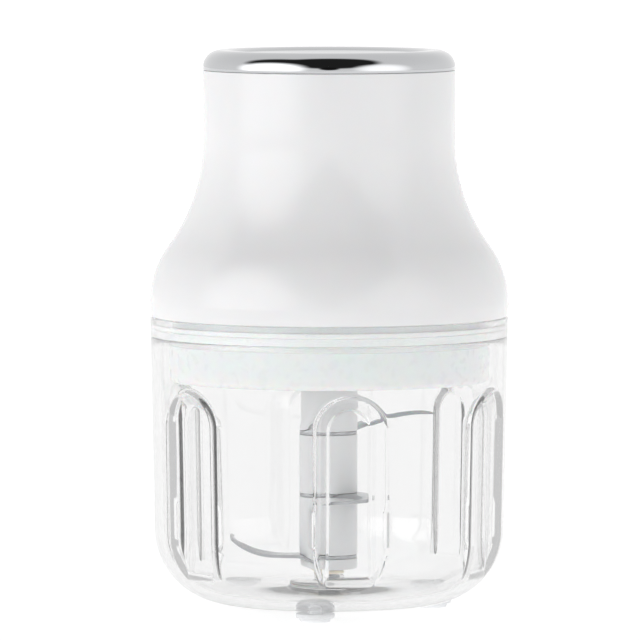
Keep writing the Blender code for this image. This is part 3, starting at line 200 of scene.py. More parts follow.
def add_node(tree, kind, values, **settings):
    """Adds a node, with its own settings, and its inputs as values or as links from other nodes."""
    node = tree.nodes.new(kind)
    for key, value in settings.items():
        setattr(node, key, value)
    for key, value in values.items():
        if isinstance(value, bpy.types.NodeSocket):
            tree.links.new(value, node.inputs[key])
        else:
            node.inputs[key].default_value = value
    return node


def surface(name, tone, shade, grain, roughness, bump=0.0, stretch=(1, 1, 1), detail=3.0, **sockets):
    """A finish whose colour runs from a tone to a shade of it, with a grain of a real size in metres.

    roughness is its lowest and highest value, bump the height of the grain in metres, and stretch how much
    longer the grain is along each axis. The other sockets are set on the shader itself."""
    made = bpy.data.materials.new(name)
    made.use_nodes = True
    tree = made.node_tree
    shader = tree.nodes["Principled BSDF"]
    for key, value in sockets.items():
        shader.inputs[key.replace("_", " ")].default_value = value
    place = add_node(tree, "ShaderNodeTexCoord", {})
    squeeze = [1 / share for share in stretch]
    mapping = add_node(tree, "ShaderNodeMapping", {"Vector": place.outputs["Object"], "Scale": squeeze})
    noise = add_node(
        tree,
        "ShaderNodeTexNoise",
        {"Vector": mapping.outputs["Vector"], "Scale": 1 / grain, "Detail": detail, "Roughness": 0.55},
    )
    mix = mixed(tree, noise.outputs["Fac"], tone, shade)
    tree.links.new(mix, shader.inputs["Base Color"])
    spread = add_node(
        tree,
        "ShaderNodeMapRange",
        {"Value": noise.outputs["Fac"], "To Min": roughness[0], "To Max": roughness[1]},
    )
    tree.links.new(spread.outputs["Result"], shader.inputs["Roughness"])
    if bump:
        relief = add_node(
            tree, "ShaderNodeBump", {"Height": noise.outputs["Fac"], "Strength": 1.0, "Distance": bump}
        )
        tree.links.new(relief.outputs["Normal"], shader.inputs["Normal"])
    return made


def mixed(tree, factor, tone, shade):
    """The output of a node that goes from a tone to a shade."""
    ramp = add_node(tree, "ShaderNodeValToRGB", {"Fac": factor})
    ramp.color_ramp.elements[0].color = (*tone, 1.0)
    ramp.color_ramp.elements[0].position = 0.3
    ramp.color_ramp.elements[1].color = (*shade, 1.0)
    ramp.color_ramp.elements[1].position = 0.7
    return ramp.outputs["Color"]


def darker(tone, share):
    return tuple(part * (1 - share) for part in tone)


def finish(name):
    """The material of this name, made on first use."""
    return bpy.data.materials.get(name) or FINISHES[name]()


# How many times light may be mirrored inside a clear wall before it leaves it, and the share that is left
# then: a fixed grey, painted shade along the walls' edges
MOST_TURNS = 2
PAINTED_EDGE_SHADE = 0.55


def clear_plastic():
    # Copolyester, injection moulded in a polished tool: water clear and hard, with faint flow waves
    tint = tuple(bpy.context.scene.chopper_bowl.tint)
    made = surface(
        "clear_copolyester", tint, darker(tint, 0.004), 9 * MM, (0.0, 0.012), 0.004 * MM, (1, 1, 3), 1.0,
        Transmission_Weight=1.0, IOR=1.54,
    )
    let_light_in(made, 0.97)
    return made


def let_light_in(made, share):
    """Lets the room's light reach what stands inside a clear piece, less what its walls hold back.

    Light that has run round inside the walls many times leaves them too, so that no edge goes black; it
    leaves through a fixed grey, a painted shade that draws the walls' edges as grey lines."""
    tree = made.node_tree
    rays = add_node(tree, "ShaderNodeLightPath", {})
    soft = add_node(
        tree,
        "ShaderNodeMath",
        {0: rays.outputs["Is Shadow Ray"], 1: rays.outputs["Is Diffuse Ray"]},
        operation="MAXIMUM",
    )
    # Rays mirrored more than MOST_TURNS times inside the walls: these take the painted edge shade
    painted_shade_rays = add_node(
        tree, "ShaderNodeMath", {0: rays.outputs["Glossy Depth"], 1: MOST_TURNS}, operation="GREATER_THAN"
    )
    # A fixed grey transparency: painted shade that draws grey lines along the clear walls' edges
    edge = add_node(tree, "ShaderNodeBsdfTransparent", {"Color": (PAINTED_EDGE_SHADE, PAINTED_EDGE_SHADE, PAINTED_EDGE_SHADE, 1.0)})
    open_air = add_node(tree, "ShaderNodeBsdfTransparent", {"Color": (share, share, share, 1.0)})
    wall = add_node(
        tree,
        "ShaderNodeMixShader",
        {0: painted_shade_rays.outputs[0], 1: tree.nodes["Principled BSDF"].outputs["BSDF"], 2: edge.outputs["BSDF"]},
    )
    both = add_node(
        tree,
        "ShaderNodeMixShader",
        {0: soft.outputs[0], 1: wall.outputs["Shader"], 2: open_air.outputs["BSDF"]},
    )
    tree.links.new(both.outputs["Shader"], tree.nodes["Material Output"].inputs["Surface"])


def clear_silicone():
    # Liquid silicone, moulded without pigment: lets the light through with a slight milk and a soft gloss
    tone = tuple(bpy.context.scene.chopper_lid.silicone)
    made = surface(
        "clear_silicone", tone, darker(tone, 0.02), 1.2 * MM, (0.10, 0.16), 0.002 * MM,
        Transmission_Weight=0.8, IOR=1.41,
    )
    let_light_in(made, 0.95)
    return made


def milky_silicone():
    # Liquid silicone with a little white in it, moulded: dull gloss, and light bleeds through its edges
    tone = linear("#DDDFE0")
    return surface(
        "milky_silicone", tone, darker(tone, 0.03), 0.8 * MM, (0.32, 0.42), 0.003 * MM,
        Transmission_Weight=0.35, IOR=1.41, Subsurface_Weight=0.3, Subsurface_Scale=2 * MM,
    )


def gloss_housing():
    # White ABS from a mirror-polished tool: deep gloss with a trace of flow, no grain to the eye
    tone = tuple(bpy.context.scene.chopper_head.plastic)
    return surface(
        "gloss_white_abs", tone, darker(tone, 0.008), 7 * MM, (0.10, 0.14), 0.002 * MM, (1, 1, 2), 1.0,
        IOR=1.53, Subsurface_Weight=0.1, Subsurface_Scale=1 * MM,
    )


def milky_lid():
    # Natural polypropylene with a white tint, injection moulded: satin, and it glows where light is behind it
    tone = tuple(bpy.context.scene.chopper_lid.plastic)
    return surface(
        "milky_polypropylene", tone, darker(tone, 0.012), 2 * MM, (0.24, 0.32), 0.002 * MM,
        IOR=1.49, Subsurface_Weight=0.6, Subsurface_Scale=3 * MM,
    )


def moulded_hub():
    # White acetal, injection moulded: waxy satin, cooler than the housing
    tone = tuple(bpy.context.scene.chopper_blades.hub)
    return surface(
        "white_acetal", tone, darker(tone, 0.02), 1.5 * MM, (0.28, 0.38), 0.002 * MM, IOR=1.48,
        Subsurface_Weight=0.1, Subsurface_Scale=1 * MM,
    )


def bright_chrome():
    # Bright chrome on moulded ABS: a mirror, with the plate's faint unevenness
    tone = tuple(bpy.context.scene.chopper_top.plate)
    return surface(
        "bright_chrome_plate", tone, darker(tone, 0.02), 12 * MM, (0.02, 0.045), 0.0005 * MM, (1, 1, 1), 2.0,
        Metallic=1.0,
    )


def blade_steel():
    # Cold-rolled stainless sheet, stamped and fine ground: bright, with short grinding lines across the blade
    tone = tuple(bpy.context.scene.chopper_blades.steel)
    return surface(
        "ground_stainless_sheet", tone, darker(tone, 0.08), 0.25 * MM, (0.14, 0.26), 0.003 * MM, (1, 14, 1),
        Metallic=1.0, Anisotropic=0.3,
    )


def plain_steel():
    # Zinc-plated and turned steel: soft metal sheen with fine turning marks
    tone = linear("#B9BCBF")
    return surface(
        "zinc_plated_steel", tone, darker(tone, 0.12), 0.3 * MM, (0.24, 0.38), 0.004 * MM, (4, 4, 1),
        Metallic=1.0,
    )


def turned_brass():
    # Free-machining brass, turned: warm metal with fine rings
    tone = linear("#C9A55C")
    return surface(
        "turned_brass", tone, darker(tone, 0.15), 0.25 * MM, (0.22, 0.36), 0.003 * MM, (5, 5, 1), Metallic=1.0
    )


def gear_nylon():
    # Natural nylon, injection moulded: warm off-white, waxy, with a fine moulded grain
    tone = linear("#E9E4D4")
    return surface(
        "natural_nylon", tone, darker(tone, 0.05), 0.5 * MM, (0.36, 0.48), 0.005 * MM, IOR=1.53,
        Subsurface_Weight=0.2, Subsurface_Scale=1 * MM,
    )


def black_plastic():
    # Black ABS with a spark-eroded tool texture: matt with a fine even grain
    tone = linear("#1D1E20")
    return surface("grained_black_abs", tone, darker(tone, 0.2), 0.3 * MM, (0.42, 0.58), 0.01 * MM, IOR=1.53)


def magnet_ferrite():
    # Sintered and ground ferrite: dark grey stone with a gritty face
    tone = linear("#4B4C50")
    return surface("sintered_ferrite", tone, darker(tone, 0.25), 0.2 * MM, (0.55, 0.75), 0.01 * MM, IOR=1.8)


def copper_winding():
    # Enamelled copper wire wound over stacked steel: copper gloss in fine parallel turns along the rotor
    tone = linear("#C07F4E")
    return surface(
        "wound_copper_wire", tone, darker(tone, 0.45), 0.35 * MM, (0.25, 0.42), 0.04 * MM, (1, 1, 20),
        Metallic=1.0,
    )


def cell_wrap():
    # Shrunk PVC sleeve over a flat cell: blue-grey film with slight wrinkles
    tone = linear("#5E7488")
    return surface("shrunk_cell_sleeve", tone, darker(tone, 0.08), 3 * MM, (0.3, 0.42), 0.03 * MM, IOR=1.54)


def green_board():
    # Glass-fibre board under solder mask: glossy green, with the weave just showing
    tone = linear("#1E5A38")
    return surface(
        "solder_masked_board", tone, darker(tone, 0.25), 0.6 * MM, (0.22, 0.34), 0.006 * MM, IOR=1.55
    )


FINISHES = {
    "clear_copolyester": clear_plastic,
    "clear_silicone": clear_silicone,
    "milky_silicone": milky_silicone,
    "gloss_white_abs": gloss_housing,
    "milky_polypropylene": milky_lid,
    "white_acetal": moulded_hub,
    "bright_chrome_plate": bright_chrome,
    "ground_stainless_sheet": blade_steel,
    "zinc_plated_steel": plain_steel,
    "turned_brass": turned_brass,
    "natural_nylon": gear_nylon,
    "grained_black_abs": black_plastic,
    "sintered_ferrite": magnet_ferrite,
    "wound_copper_wire": copper_winding,
    "shrunk_cell_sleeve": cell_wrap,
    "solder_masked_board": green_board,
}

# The finish that each of the record's material slots takes here
SLOT_FINISH = {
    "clear_plastic": "clear_copolyester",
    "milky_silicone": "milky_silicone",
    "white_gloss": "gloss_white_abs",
    "milky_lid": "milky_polypropylene",
    "white_hub": "white_acetal",
    "chrome_plate": "bright_chrome_plate",
    "blade_steel": "ground_stainless_sheet",
    "plain_steel": "zinc_plated_steel",
    "brass": "turned_brass",
    "gear_nylon": "natural_nylon",
    "black_plastic": "grained_black_abs",
    "magnet_ferrite": "sintered_ferrite",
    "copper_winding": "wound_copper_wire",
    "cell_wrap": "shrunk_cell_sleeve",
    "green_board": "solder_masked_board",
}


# ---------------------------------------------------------------- shapes

def span(node):
    """Radius, bottom, top and centre of a round CAD node."""
    low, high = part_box(node)
    centre = (low + high) / 2
    return (high.x - low.x) / 2, low.z, high.z, Vector((centre.x, centre.y, 0))


def arc(centre, radius, start, end, steps):
    """Points of an arc in the (radius, height) plane, angles in degrees from +X."""
    points = []
    for i in range(steps + 1):
        angle = math.radians(start + (end - start) * i / steps)
        points.append((centre[0] + radius * math.cos(angle), centre[1] + radius * math.sin(angle)))
    return points


def rounded(corners, closed=True):
    """A section with its corners rounded. Each corner is (radius, height) or (radius, height, rounding)."""
    points = []
    count = len(corners)
    for i, corner in enumerate(corners):
        here = Vector(corner[:2])
        rounding = corner[2] if len(corner) > 2 else 0.0
        if not rounding or (not closed and i in (0, count - 1)):
            points.append(tuple(here))
            continue
        back = (Vector(corners[i - 1][:2]) - here).normalized()
        ahead = (Vector(corners[(i + 1) % count][:2]) - here).normalized()
        half = back.angle(ahead) / 2
        centre = here + (back + ahead).normalized() * rounding / math.sin(half)
        start = here + back * rounding / math.tan(half) - centre
        end = here + ahead * rounding / math.tan(half) - centre
        for step in range(CORNER_STEPS + 1):
            spoke = start.slerp(end, step / CORNER_STEPS).normalized()
            points.append(tuple(centre + spoke * rounding))
    return points


def spin(profile, closed=True, steps=FINE_TURN):
    """A bmesh turned from a section: a closed one, or one that starts and ends on the axis."""
    work = bmesh.new()
    verts = [work.verts.new((radius, 0, height)) for radius, height in profile]
    edges = [work.edges.new(pair) for pair in zip(verts, verts[1:])]
    if closed:
        edges.append(work.edges.new((verts[-1], verts[0])))
    bmesh.ops.spin(
        work,
        geom=verts + edges,
        cent=(0, 0, 0),
        axis=(0, 0, 1),
        angle=2 * math.pi,
        steps=steps,
        use_merge=True,
    )
    bmesh.ops.remove_doubles(work, verts=work.verts, dist=MERGE)
    bmesh.ops.recalc_face_normals(work, faces=work.faces)
    return work


def block(low, high, rounding=0.0):
    """A bmesh block between two corners, with rounded edges."""
    work = bmesh.new()
    size = Vector(high) - Vector(low)
    middle = (Vector(high) + Vector(low)) / 2
    bmesh.ops.create_cube(work, size=1, matrix=Matrix.Translation(middle) @ Matrix.Diagonal((*size, 1)))
    if rounding:
        round_edges(work, work.edges, rounding)
    return work


def round_edges(work, edges, rounding, segments=3):
    bmesh.ops.bevel(
        work,
        geom=list(edges),
        offset=rounding,
        offset_type="OFFSET",
        affect="EDGES",
        segments=segments,
        profile=0.5,
        material=-1,
        clamp_overlap=True,
    )


def as_object(name, work, at=(0, 0, 0)):
    """An object in the scene from a bmesh, with its place in its mesh."""
    bmesh.ops.translate(work, verts=work.verts, vec=Vector(at))
    mesh = bpy.data.meshes.new(name)
    work.to_mesh(mesh)
    work.free()
    made = bpy.data.objects.new(name, mesh)
    bpy.context.scene.collection.objects.link(made)
    return made


def carve(body, *cutters, operation="DIFFERENCE"):
    """Cuts or joins with Booleans, keeps the result as the body's own mesh, and removes the cutters."""
    for cutter in cutters:
        step = body.modifiers.new(cutter.name, "BOOLEAN")
        step.operation = operation
        step.solver = "EXACT"
        step.object = cutter
    bpy.context.view_layer.update()
    graph = bpy.context.evaluated_depsgraph_get()
    mesh = bpy.data.meshes.new_from_object(body.evaluated_get(graph))
    body.modifiers.clear()
    body.data = mesh
    for cutter in cutters:
        bpy.data.objects.remove(cutter)
    return body


def settle(made, material, slot, body, *nodes):
    """Gives a piece its finish, its body and the CAD nodes that it stands for."""
    made.data.materials.clear()
    made.data.materials.append(finish(material))
    made.data.shade_smooth()
    made.data.set_sharp_from_angle(angle=SMOOTH_ANGLE)
    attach(made, body)
    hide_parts(*nodes)
    return made


def turned(name, corners, material, slot, body, node, closed=True, steps=FINE_TURN, at=(0, 0, 0)):
    """A turned piece with rounded corners that stands for one CAD node."""
    work = spin(rounded(corners, closed), closed, steps)
    return settle(as_object(name, work, at), material, slot, body, node)


# ---------------------------------------------------------------- bowl

# Rows of the bowl's skin: how far apart they are along the section, fine where the pockets' ends are
ROW_FINE = 0.33 * MM
ROW_FOOT = 0.42 * MM
ROW_LEG = 2.2 * MM
ROW_PLAIN = 2.0 * MM
# Columns of half a pocket's share of the turn: (how many columns, how far across they reach), in the
# pocket's own half widths, fine over its sloped side
COLUMNS = ((0, 0.0), (7, 0.52), (24, 1.10))
COLUMNS_HALF = 31


def soft_floor(value, soft):
    """The value where it is above zero, and zero below, with a rounded corner between."""
    if value >= soft:
        return value
    if value <= -soft:
        return 0.0
    return (value + soft) ** 2 / (4 * soft)


def rows(start, end, spacing):
    """Points from start to end, without the end, about a spacing apart."""
    start, end = Vector(start), Vector(end)
    count = max(1, round((end - start).length / spacing))
    return [tuple(start.lerp(end, i / count)) for i in range(count)]


def bowl_side(settings, inset, low, high):
    """The section of the bowl's side from the rim to the axis, moved in by an inset, with its rows."""
    rim_r, bottom, top = high.x, low.z, high.z
    corner_z = bottom + settings.corner
    centre = (settings.foot_r - settings.corner, corner_z)
    radius = settings.corner - inset

    def side(height):
        lean = (height - corner_z) / (top - corner_z)
        return (settings.foot_r + (rim_r - settings.foot_r) * lean - inset, height)

    crown = top - settings.rib_crown + inset
    leg = crown - settings.rib_width
    above = crown + 1.0 * MM
    points = [*rows(side(top), side(above), ROW_PLAIN), *rows(side(above), side(leg), ROW_FINE)]
    points += rows(side(leg), side(corner_z), ROW_LEG)
    foot_angle = 55
    foot_steps = round(radius * math.radians(foot_angle) / ROW_FOOT)
    points += arc(centre, radius, 0, -foot_angle, foot_steps)[:-1]
    points += arc(centre, radius, -foot_angle, -90, 8)
    return points


def press_pockets(work, settings, low, high, inner):
    """Spaces the turned skin's columns out and presses the arch pockets into it."""
    top = high.z
    corner_z = low.z + settings.corner
    centre_r = settings.foot_r - settings.corner
    share = 2 * math.pi / settings.rib_count
    half = settings.rib_width / 2
    slope = (settings.rib_width - settings.rib_floor_width) / 2 / settings.rib_depth
    floor_half = settings.rib_floor_width / 2
    crown_z = top - settings.rib_crown - half
    # An even wall behind a sloped side: the slope moves out by this much across
    if inner:
        floor_half += settings.rib_wall * (math.hypot(1, slope) - slope)
    half_angle = math.asin(half / settings.foot_r)
    knots = [(count, reach * half_angle) for count, reach in COLUMNS] + [(COLUMNS_HALF, share / 2)]
    for vertex in work.verts:
        radius = math.hypot(vertex.co.x, vertex.co.y)
        if radius < MERGE:
            continue
        turn = math.atan2(vertex.co.y, vertex.co.x)
        number = round(turn / share)
        offset = turn - number * share
        column = abs(offset) / share * 2 * COLUMNS_HALF
        for (low_count, low_angle), (high_count, high_angle) in zip(knots, knots[1:]):
            if column <= high_count + 0.01:
                along = (column - low_count) / (high_count - low_count)
                offset = math.copysign(low_angle + (high_angle - low_angle) * along, offset)
                break
        turn = settings.rib_first + number * share + offset
        height = vertex.co.z
        down = math.atan2(corner_z - height, max(radius - centre_r, MERGE)) if height < corner_z else 0.0
        across = abs(radius * math.sin(offset))
        if height > crown_z:
            across = math.hypot(across, height - crown_z)
        lean = (height - corner_z) / (top - corner_z)
        floor_r = settings.foot_r - settings.rib_depth + (high.x - settings.foot_r) * max(lean, 0.0)
        floor_r -= settings.rib_wall if inner else 0.0
        wall_r = floor_r + soft_floor(across - floor_half, settings.rib_soft) / slope
        if down < math.radians(70):
            depth = soft_floor(radius - wall_r, settings.rib_soft) / math.cos(down)
            radius -= depth * math.cos(down)
            height += depth * math.sin(down)
        vertex.co = (radius * math.cos(turn), radius * math.sin(turn), height)


def bowl_skin(settings, low, high, inner):
    """One skin of the bowl, from rim to axis, with its pockets."""
    bottom = low.z
    side = bowl_side(settings, settings.wall if inner else 0.0, low, high)
    if inner:
        floor_z = bottom + settings.wall
        boss_top = floor_z + settings.boss_rise
        post_top = floor_z + settings.post_rise
        fillet = DEEP_FILLET
        centre = [
            (settings.boss_r, floor_z, fillet),
            (settings.boss_r, boss_top, fillet),
            (settings.post_r, boss_top, fillet),
            (settings.post_r, post_top, fillet),
            (0, post_top),
        ]
        side += rounded([side[-1], *centre], closed=False)[1:]
    else:
        side += rows(side[-1], (0, bottom), ROW_PLAIN * 2)[1:] + [(0, bottom)]
    work = spin(side, closed=False, steps=2 * COLUMNS_HALF * settings.rib_count)
    press_pockets(work, settings, low, high, inner)
    return work


class CHOPPER_OT_bowl(bpy.types.Operator):
    """Builds the clear bowl with its arch pockets, and the steel pin in its post"""

    bl_idname = "chopper.bowl"
    bl_label = "Bowl"

    def execute(self, context):
        settings = context.scene.chopper_bowl
        low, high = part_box("bowl")
        outer = bowl_skin(settings, low, high, inner=False)
        inner = bowl_skin(settings, low, high, inner=True)
        bmesh.ops.reverse_faces(inner, faces=inner.faces)
        joined = bpy.data.meshes.new("bowl_inner_skin")
        inner.to_mesh(joined)
        inner.free()
        outer.from_mesh(joined)
        bpy.data.meshes.remove(joined)
        open_edges = [edge for edge in outer.edges if edge.is_boundary]
        bmesh.ops.bridge_loops(outer, edges=open_edges)
        rim = [e for e in outer.edges if min(v.co.z for v in e.verts) > high.z - MERGE and rim_edge(e)]
        round_edges(outer, rim, settings.rim_round, segments=4)
        bmesh.ops.remove_doubles(outer, verts=outer.verts, dist=MERGE)
        bmesh.ops.recalc_face_normals(outer, faces=outer.faces)
        settle(as_object("bowl_fine", outer), "clear_copolyester", "clear_plastic", "bowl", "bowl")
        radius, bottom, top, _ = span("bowl_pin")
        pin = [(0, top), (radius, top, radius * 0.6), (radius, bottom, 0.2 * MM), (0, bottom)]
        turned(
            "bowl_pin_fine", pin, "zinc_plated_steel", "plain_steel", "bowl", "bowl_pin", False, SMALL_TURN
        )
        return {"FINISHED"}


def rim_edge(edge):
    """True for an edge that runs round the rim, and not across it."""
    first, second = (math.hypot(v.co.x, v.co.y) for v in edge.verts)
    return abs(first - second) < 0.1 * MM


class CHOPPER_OT_feet(bpy.types.Operator):
    """Builds the three soft feet"""

    bl_idname = "chopper.feet"
    bl_label = "Feet"

    def execute(self, context):
        bowl_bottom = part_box("bowl")[0].z
        for i in range(3):
            node = f"foot_{i + 1}"
            radius, bottom, top, at = span(node)
            pad_r = radius - 1.0 * MM
            pad_top = bottom + 1.0 * MM
            stud_r = 1.6 * MM
            flange_top = bowl_bottom - SEAM
            corners = [
                (0, top),
                (stud_r, top, SMALL_EDGE),
                (stud_r, flange_top),
                (radius, flange_top, 0.25 * MM),
                (radius, pad_top, ROUND_EDGE),
                (pad_r, pad_top, FINE_EDGE),
                (pad_r, bottom, SOFT_EDGE),
                (0, bottom),
            ]
            piece = f"{node}_fine"
            turned(piece, corners, "milky_silicone", "milky_silicone", "bowl", node, False, SMALL_TURN, at)
        return {"FINISHED"}


# ---------------------------------------------------------------- blade stack

def blade_sheet(settings, tip_azimuth, bottom, rise, ring_r):
    """A sickle blade: a grid laid along its arm, thickened, ground on its leading edge and bent up."""
    along_count, across_count = 72, 10
    work = bmesh.new()
    bmesh.ops.create_grid(work, x_segments=along_count, y_segments=across_count, size=0.5)
    root = ring_r * math.cos(math.asin(settings.root_width / 2 / ring_r)) - 1.5 * MM
    turn = tip_azimuth - settings.sweep
    bend_start = ring_r + 1 * MM
    outward = Vector((math.cos(tip_azimuth), math.sin(tip_azimuth), 0))
    for vertex in work.verts:
        t = min(1.0, max(0.0, vertex.co.x + 0.5))
        across = vertex.co.y + 0.5
        reach = root + (settings.reach - root) * t
        angle = settings.sweep * t * t + turn
        half = settings.root_width / 2 * (1 - t) ** 0.75 + settings.tip_width / 2
        along = Vector((math.cos(angle), math.sin(angle), 0))
        side = Vector((-along.y, along.x, 0))
        # Rows crowd towards the leading edge, where the ground face is
        from_edge = 2 * half * across * across
        vertex.co = along * reach + side * (from_edge - half)
        vertex.co.z = from_edge
    bmesh.ops.recalc_face_normals(work, faces=work.faces)
    raised = bmesh.ops.extrude_face_region(work, geom=work.faces[:])["geom"]
    lifted = {item for item in raised if isinstance(item, bmesh.types.BMVert)}
    edge_thickness = 0.08 * MM
    for vertex in work.verts:
        ground = min(1.0, vertex.co.z / settings.grind)
        thickness = edge_thickness + (settings.thickness - edge_thickness) * ground
        vertex.co.z = bottom + (thickness if vertex in lifted else 0.0)
        t = max(0.0, (vertex.co.dot(outward) - bend_start) / (settings.reach - bend_start))
        vertex.co.z += rise * t * t * (3 - 2 * t)
    bmesh.ops.remove_doubles(work, verts=work.verts, dist=MERGE)
    bmesh.ops.recalc_face_normals(work, faces=work.faces)
    return work


class CHOPPER_OT_blades(bpy.types.Operator):
    """Builds the hub, its three sickle blades and the thrust washer"""

    bl_idname = "chopper.blades"
    bl_label = "Blade stack"

    def execute(self, context):
        settings = context.scene.chopper_blades
        hub_r = span("hub_end")[0]
        close = GAP - SEAM
        sleeves = ("hub_end", "hub_spacer_lower", "hub_spacer_upper", "hub_socket")
        shaft_across = 8.0 * MM
        bore_r = shaft_across / math.sqrt(3) + SEAM
        for i, node in enumerate(sleeves):
            radius, bottom, top, _ = span(node)
            bottom -= close if i else 0.0
            top += close if i < len(sleeves) - 1 else 0.0
            edge = 0.8 * MM if node in ("hub_end", "hub_socket") else FINE_EDGE
            corners = [
                (radius, top, edge if node == "hub_socket" else FINE_EDGE),
                (radius, bottom, edge if node == "hub_end" else FINE_EDGE),
                (bore_r, bottom),
                (bore_r, top),
            ]
            piece = f"{node}_fine"
            turned(piece, corners, "white_acetal", "white_hub", "blades", node, True, RING_TURN)
        tips = (("blade_bottom", 145.0, 1), ("blade_middle", 265.0, 0), ("blade_top", 25.0, 1))
        ring_r = hub_r - 0.15 * MM
        for node, azimuth, rises in tips:
            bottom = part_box(node)[0].z
            arm = blade_sheet(settings, math.radians(azimuth), bottom, rises * settings.rise, ring_r)
            corners = [
                (ring_r, bottom + settings.thickness, HAIR_EDGE),
                (ring_r, bottom, HAIR_EDGE),
                (bore_r, bottom),
                (bore_r, bottom + settings.thickness),
            ]
            ring = as_object(f"{node}_ring", spin(rounded(corners), True, RING_TURN))
            blade = carve(as_object(f"{node}_fine", arm), ring, operation="UNION")
            settle(blade, "ground_stainless_sheet", "blade_steel", "blades", node)
        radius, bottom, top, _ = span("thrust_washer")
        washer = [
            (radius, top, SLIGHT_EDGE),
            (radius, bottom, SLIGHT_EDGE),
            (1.9 * MM, bottom, HAIR_EDGE),
            (1.9 * MM, top, HAIR_EDGE),
        ]
        piece = "thrust_washer_fine"
        turned(piece, washer, "natural_nylon", "gear_nylon", "washer", "thrust_washer", True, SMALL_TURN)
        return {"FINISHED"}


# ---------------------------------------------------------------- lid

class CHOPPER_OT_lid(bpy.types.Operator):
    """Builds the milky inner lid, the clear sealing ring round it and the seal in its collar"""

    bl_idname = "chopper.lid"
    bl_label = "Inner lid and seals"

    def execute(self, context):
        settings = context.scene.chopper_lid
        bead_r, bottom, top, _ = span("lid")
        seal_r, seal_bottom, seal_top, _ = span("lid_seal")
        bowl_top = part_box("bowl")[1].z
        bowl_wall = context.scene.chopper_bowl.wall
        hub_r = span("hub_socket")[0]
        bead = 1.2 * MM
        lid_r = bead_r - bead
        bead_low = (seal_top + bowl_top + GAP) / 2 - bead / 2
        bead_high = bead_low + bead
        floor = bottom + settings.wall
        collar_r = settings.hole_r + 1.6 * MM
        collar_top = floor + settings.collar_rise
        lid = [
            (lid_r, top, SOFT_EDGE),
            (lid_r, bead_high),
            (bead_r, bead_high, SMALL_EDGE),
            (bead_r, bead_low, SMALL_EDGE),
            (lid_r, bead_low),
            (lid_r, bottom, settings.hem),
            (settings.hole_r, bottom, SMALL_EDGE),
            (settings.hole_r, collar_top, SMALL_EDGE),
            (collar_r, collar_top, SMALL_EDGE),
            (collar_r, floor, DEEP_FILLET),
            (lid_r - settings.wall, floor, 1.0 * MM),
            (lid_r - settings.wall, top, SOFT_EDGE),
        ]
        turned("lid_fine", lid, "milky_polypropylene", "milky_lid", "lid", "lid")
        ring_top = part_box("head_housing")[0].z - SEAM
        ring_bottom = bowl_top + SEAM
        lip_r = seal_r - bowl_wall - 0.5 * MM
        bore = lid_r + SEAM
        groove = bead_r + SEAM
        ring = [
            (seal_r, ring_top, ROUND_EDGE),
            (seal_r, ring_bottom, ROUND_EDGE),
            (lip_r, ring_bottom, FINE_EDGE),
            (lip_r, seal_bottom, SOFT_EDGE),
            (bore, seal_bottom, FINE_EDGE),
            (bore, bead_low - SEAM),
            (groove, bead_low - SEAM, SMALL_EDGE),
            (groove, bead_high + SEAM, SMALL_EDGE),
            (bore, bead_high + SEAM),
            (bore, ring_top, FINE_EDGE),
        ]
        turned("lid_seal_fine", ring, "clear_silicone", "milky_silicone", "lid", "lid_seal")
        radius, low, high, _ = span("collar_seal")
        inner = hub_r + 0.2 * MM
        flange = high - 1.0 * MM
        collar = [
            (radius, high, SMALL_EDGE),
            (radius, flange - GAP + SEAM, FINE_EDGE),
            (settings.hole_r - SEAM, flange - GAP + SEAM),
            (settings.hole_r - SEAM, low, SMALL_EDGE),
            (inner, low, SMALL_EDGE),
            (inner, high, SMALL_EDGE),
        ]
        turned("collar_seal_fine", collar, "milky_silicone", "milky_silicone", "lid", "collar_seal")
        return {"FINISHED"}


# ---------------------------------------------------------------- head

# The charging port: recess depth, its corners, and the hole behind it as width and height
PORT_RECESS = 1.4 * MM
PORT_EDGE = 1.6 * MM
PORT_HOLE = (9.2 * MM, 3.4 * MM)
PORT_HOLE_EDGE = 1.5 * MM
# The port's plug: air round its flange, its stem as width and height, and its finger notch
PLUG_CLEAR = 0.12 * MM
PLUG_STEM = (8.6 * MM, 2.8 * MM)
PLUG_STEM_EDGE = 1.3 * MM
PLUG_STEM_LENGTH = 2.1 * MM
PLUG_STEM_ROOT = 0.5 * MM
PLUG_NOTCH_HALF = 2 * MM
PLUG_NOTCH_DEPTH = 0.6 * MM
PLUG_NOTCH_HEIGHT = 0.9 * MM
# How many steps the bell's two arcs have each
BELL_STEPS = 14


def bell(settings, neck_r, belly_r, belly_z, inset):
    """The bell curve of the head, neck to belly, moved in by an inset: two arcs that meet tangent."""
    angle = 2 * math.atan2(belly_r - neck_r, settings.flare_rise)
    neck_curve = settings.flare_rise / math.sin(angle) - settings.belly_curve
    turn = math.degrees(angle)
    neck_centre = (neck_r + neck_curve, belly_z + settings.flare_rise)
    belly_centre = (belly_r - settings.belly_curve, belly_z)
    hollow = arc(neck_centre, neck_curve + inset, 180, 180 + turn, BELL_STEPS)
    full = arc(belly_centre, settings.belly_curve - inset, turn, 0, BELL_STEPS)
    return hollow + full[1:]


def port_solid(width, height, near, far, centre_z, rounding):
    """A bmesh block at the charging port with its four long edges rounded."""
    work = block((-width / 2, near, centre_z - height / 2), (width / 2, far, centre_z + height / 2))
    long_edges = [e for e in work.edges if abs(e.verts[0].co.y - e.verts[1].co.y) > (far - near) / 2]
    round_edges(work, long_edges, rounding, segments=6)
    return work


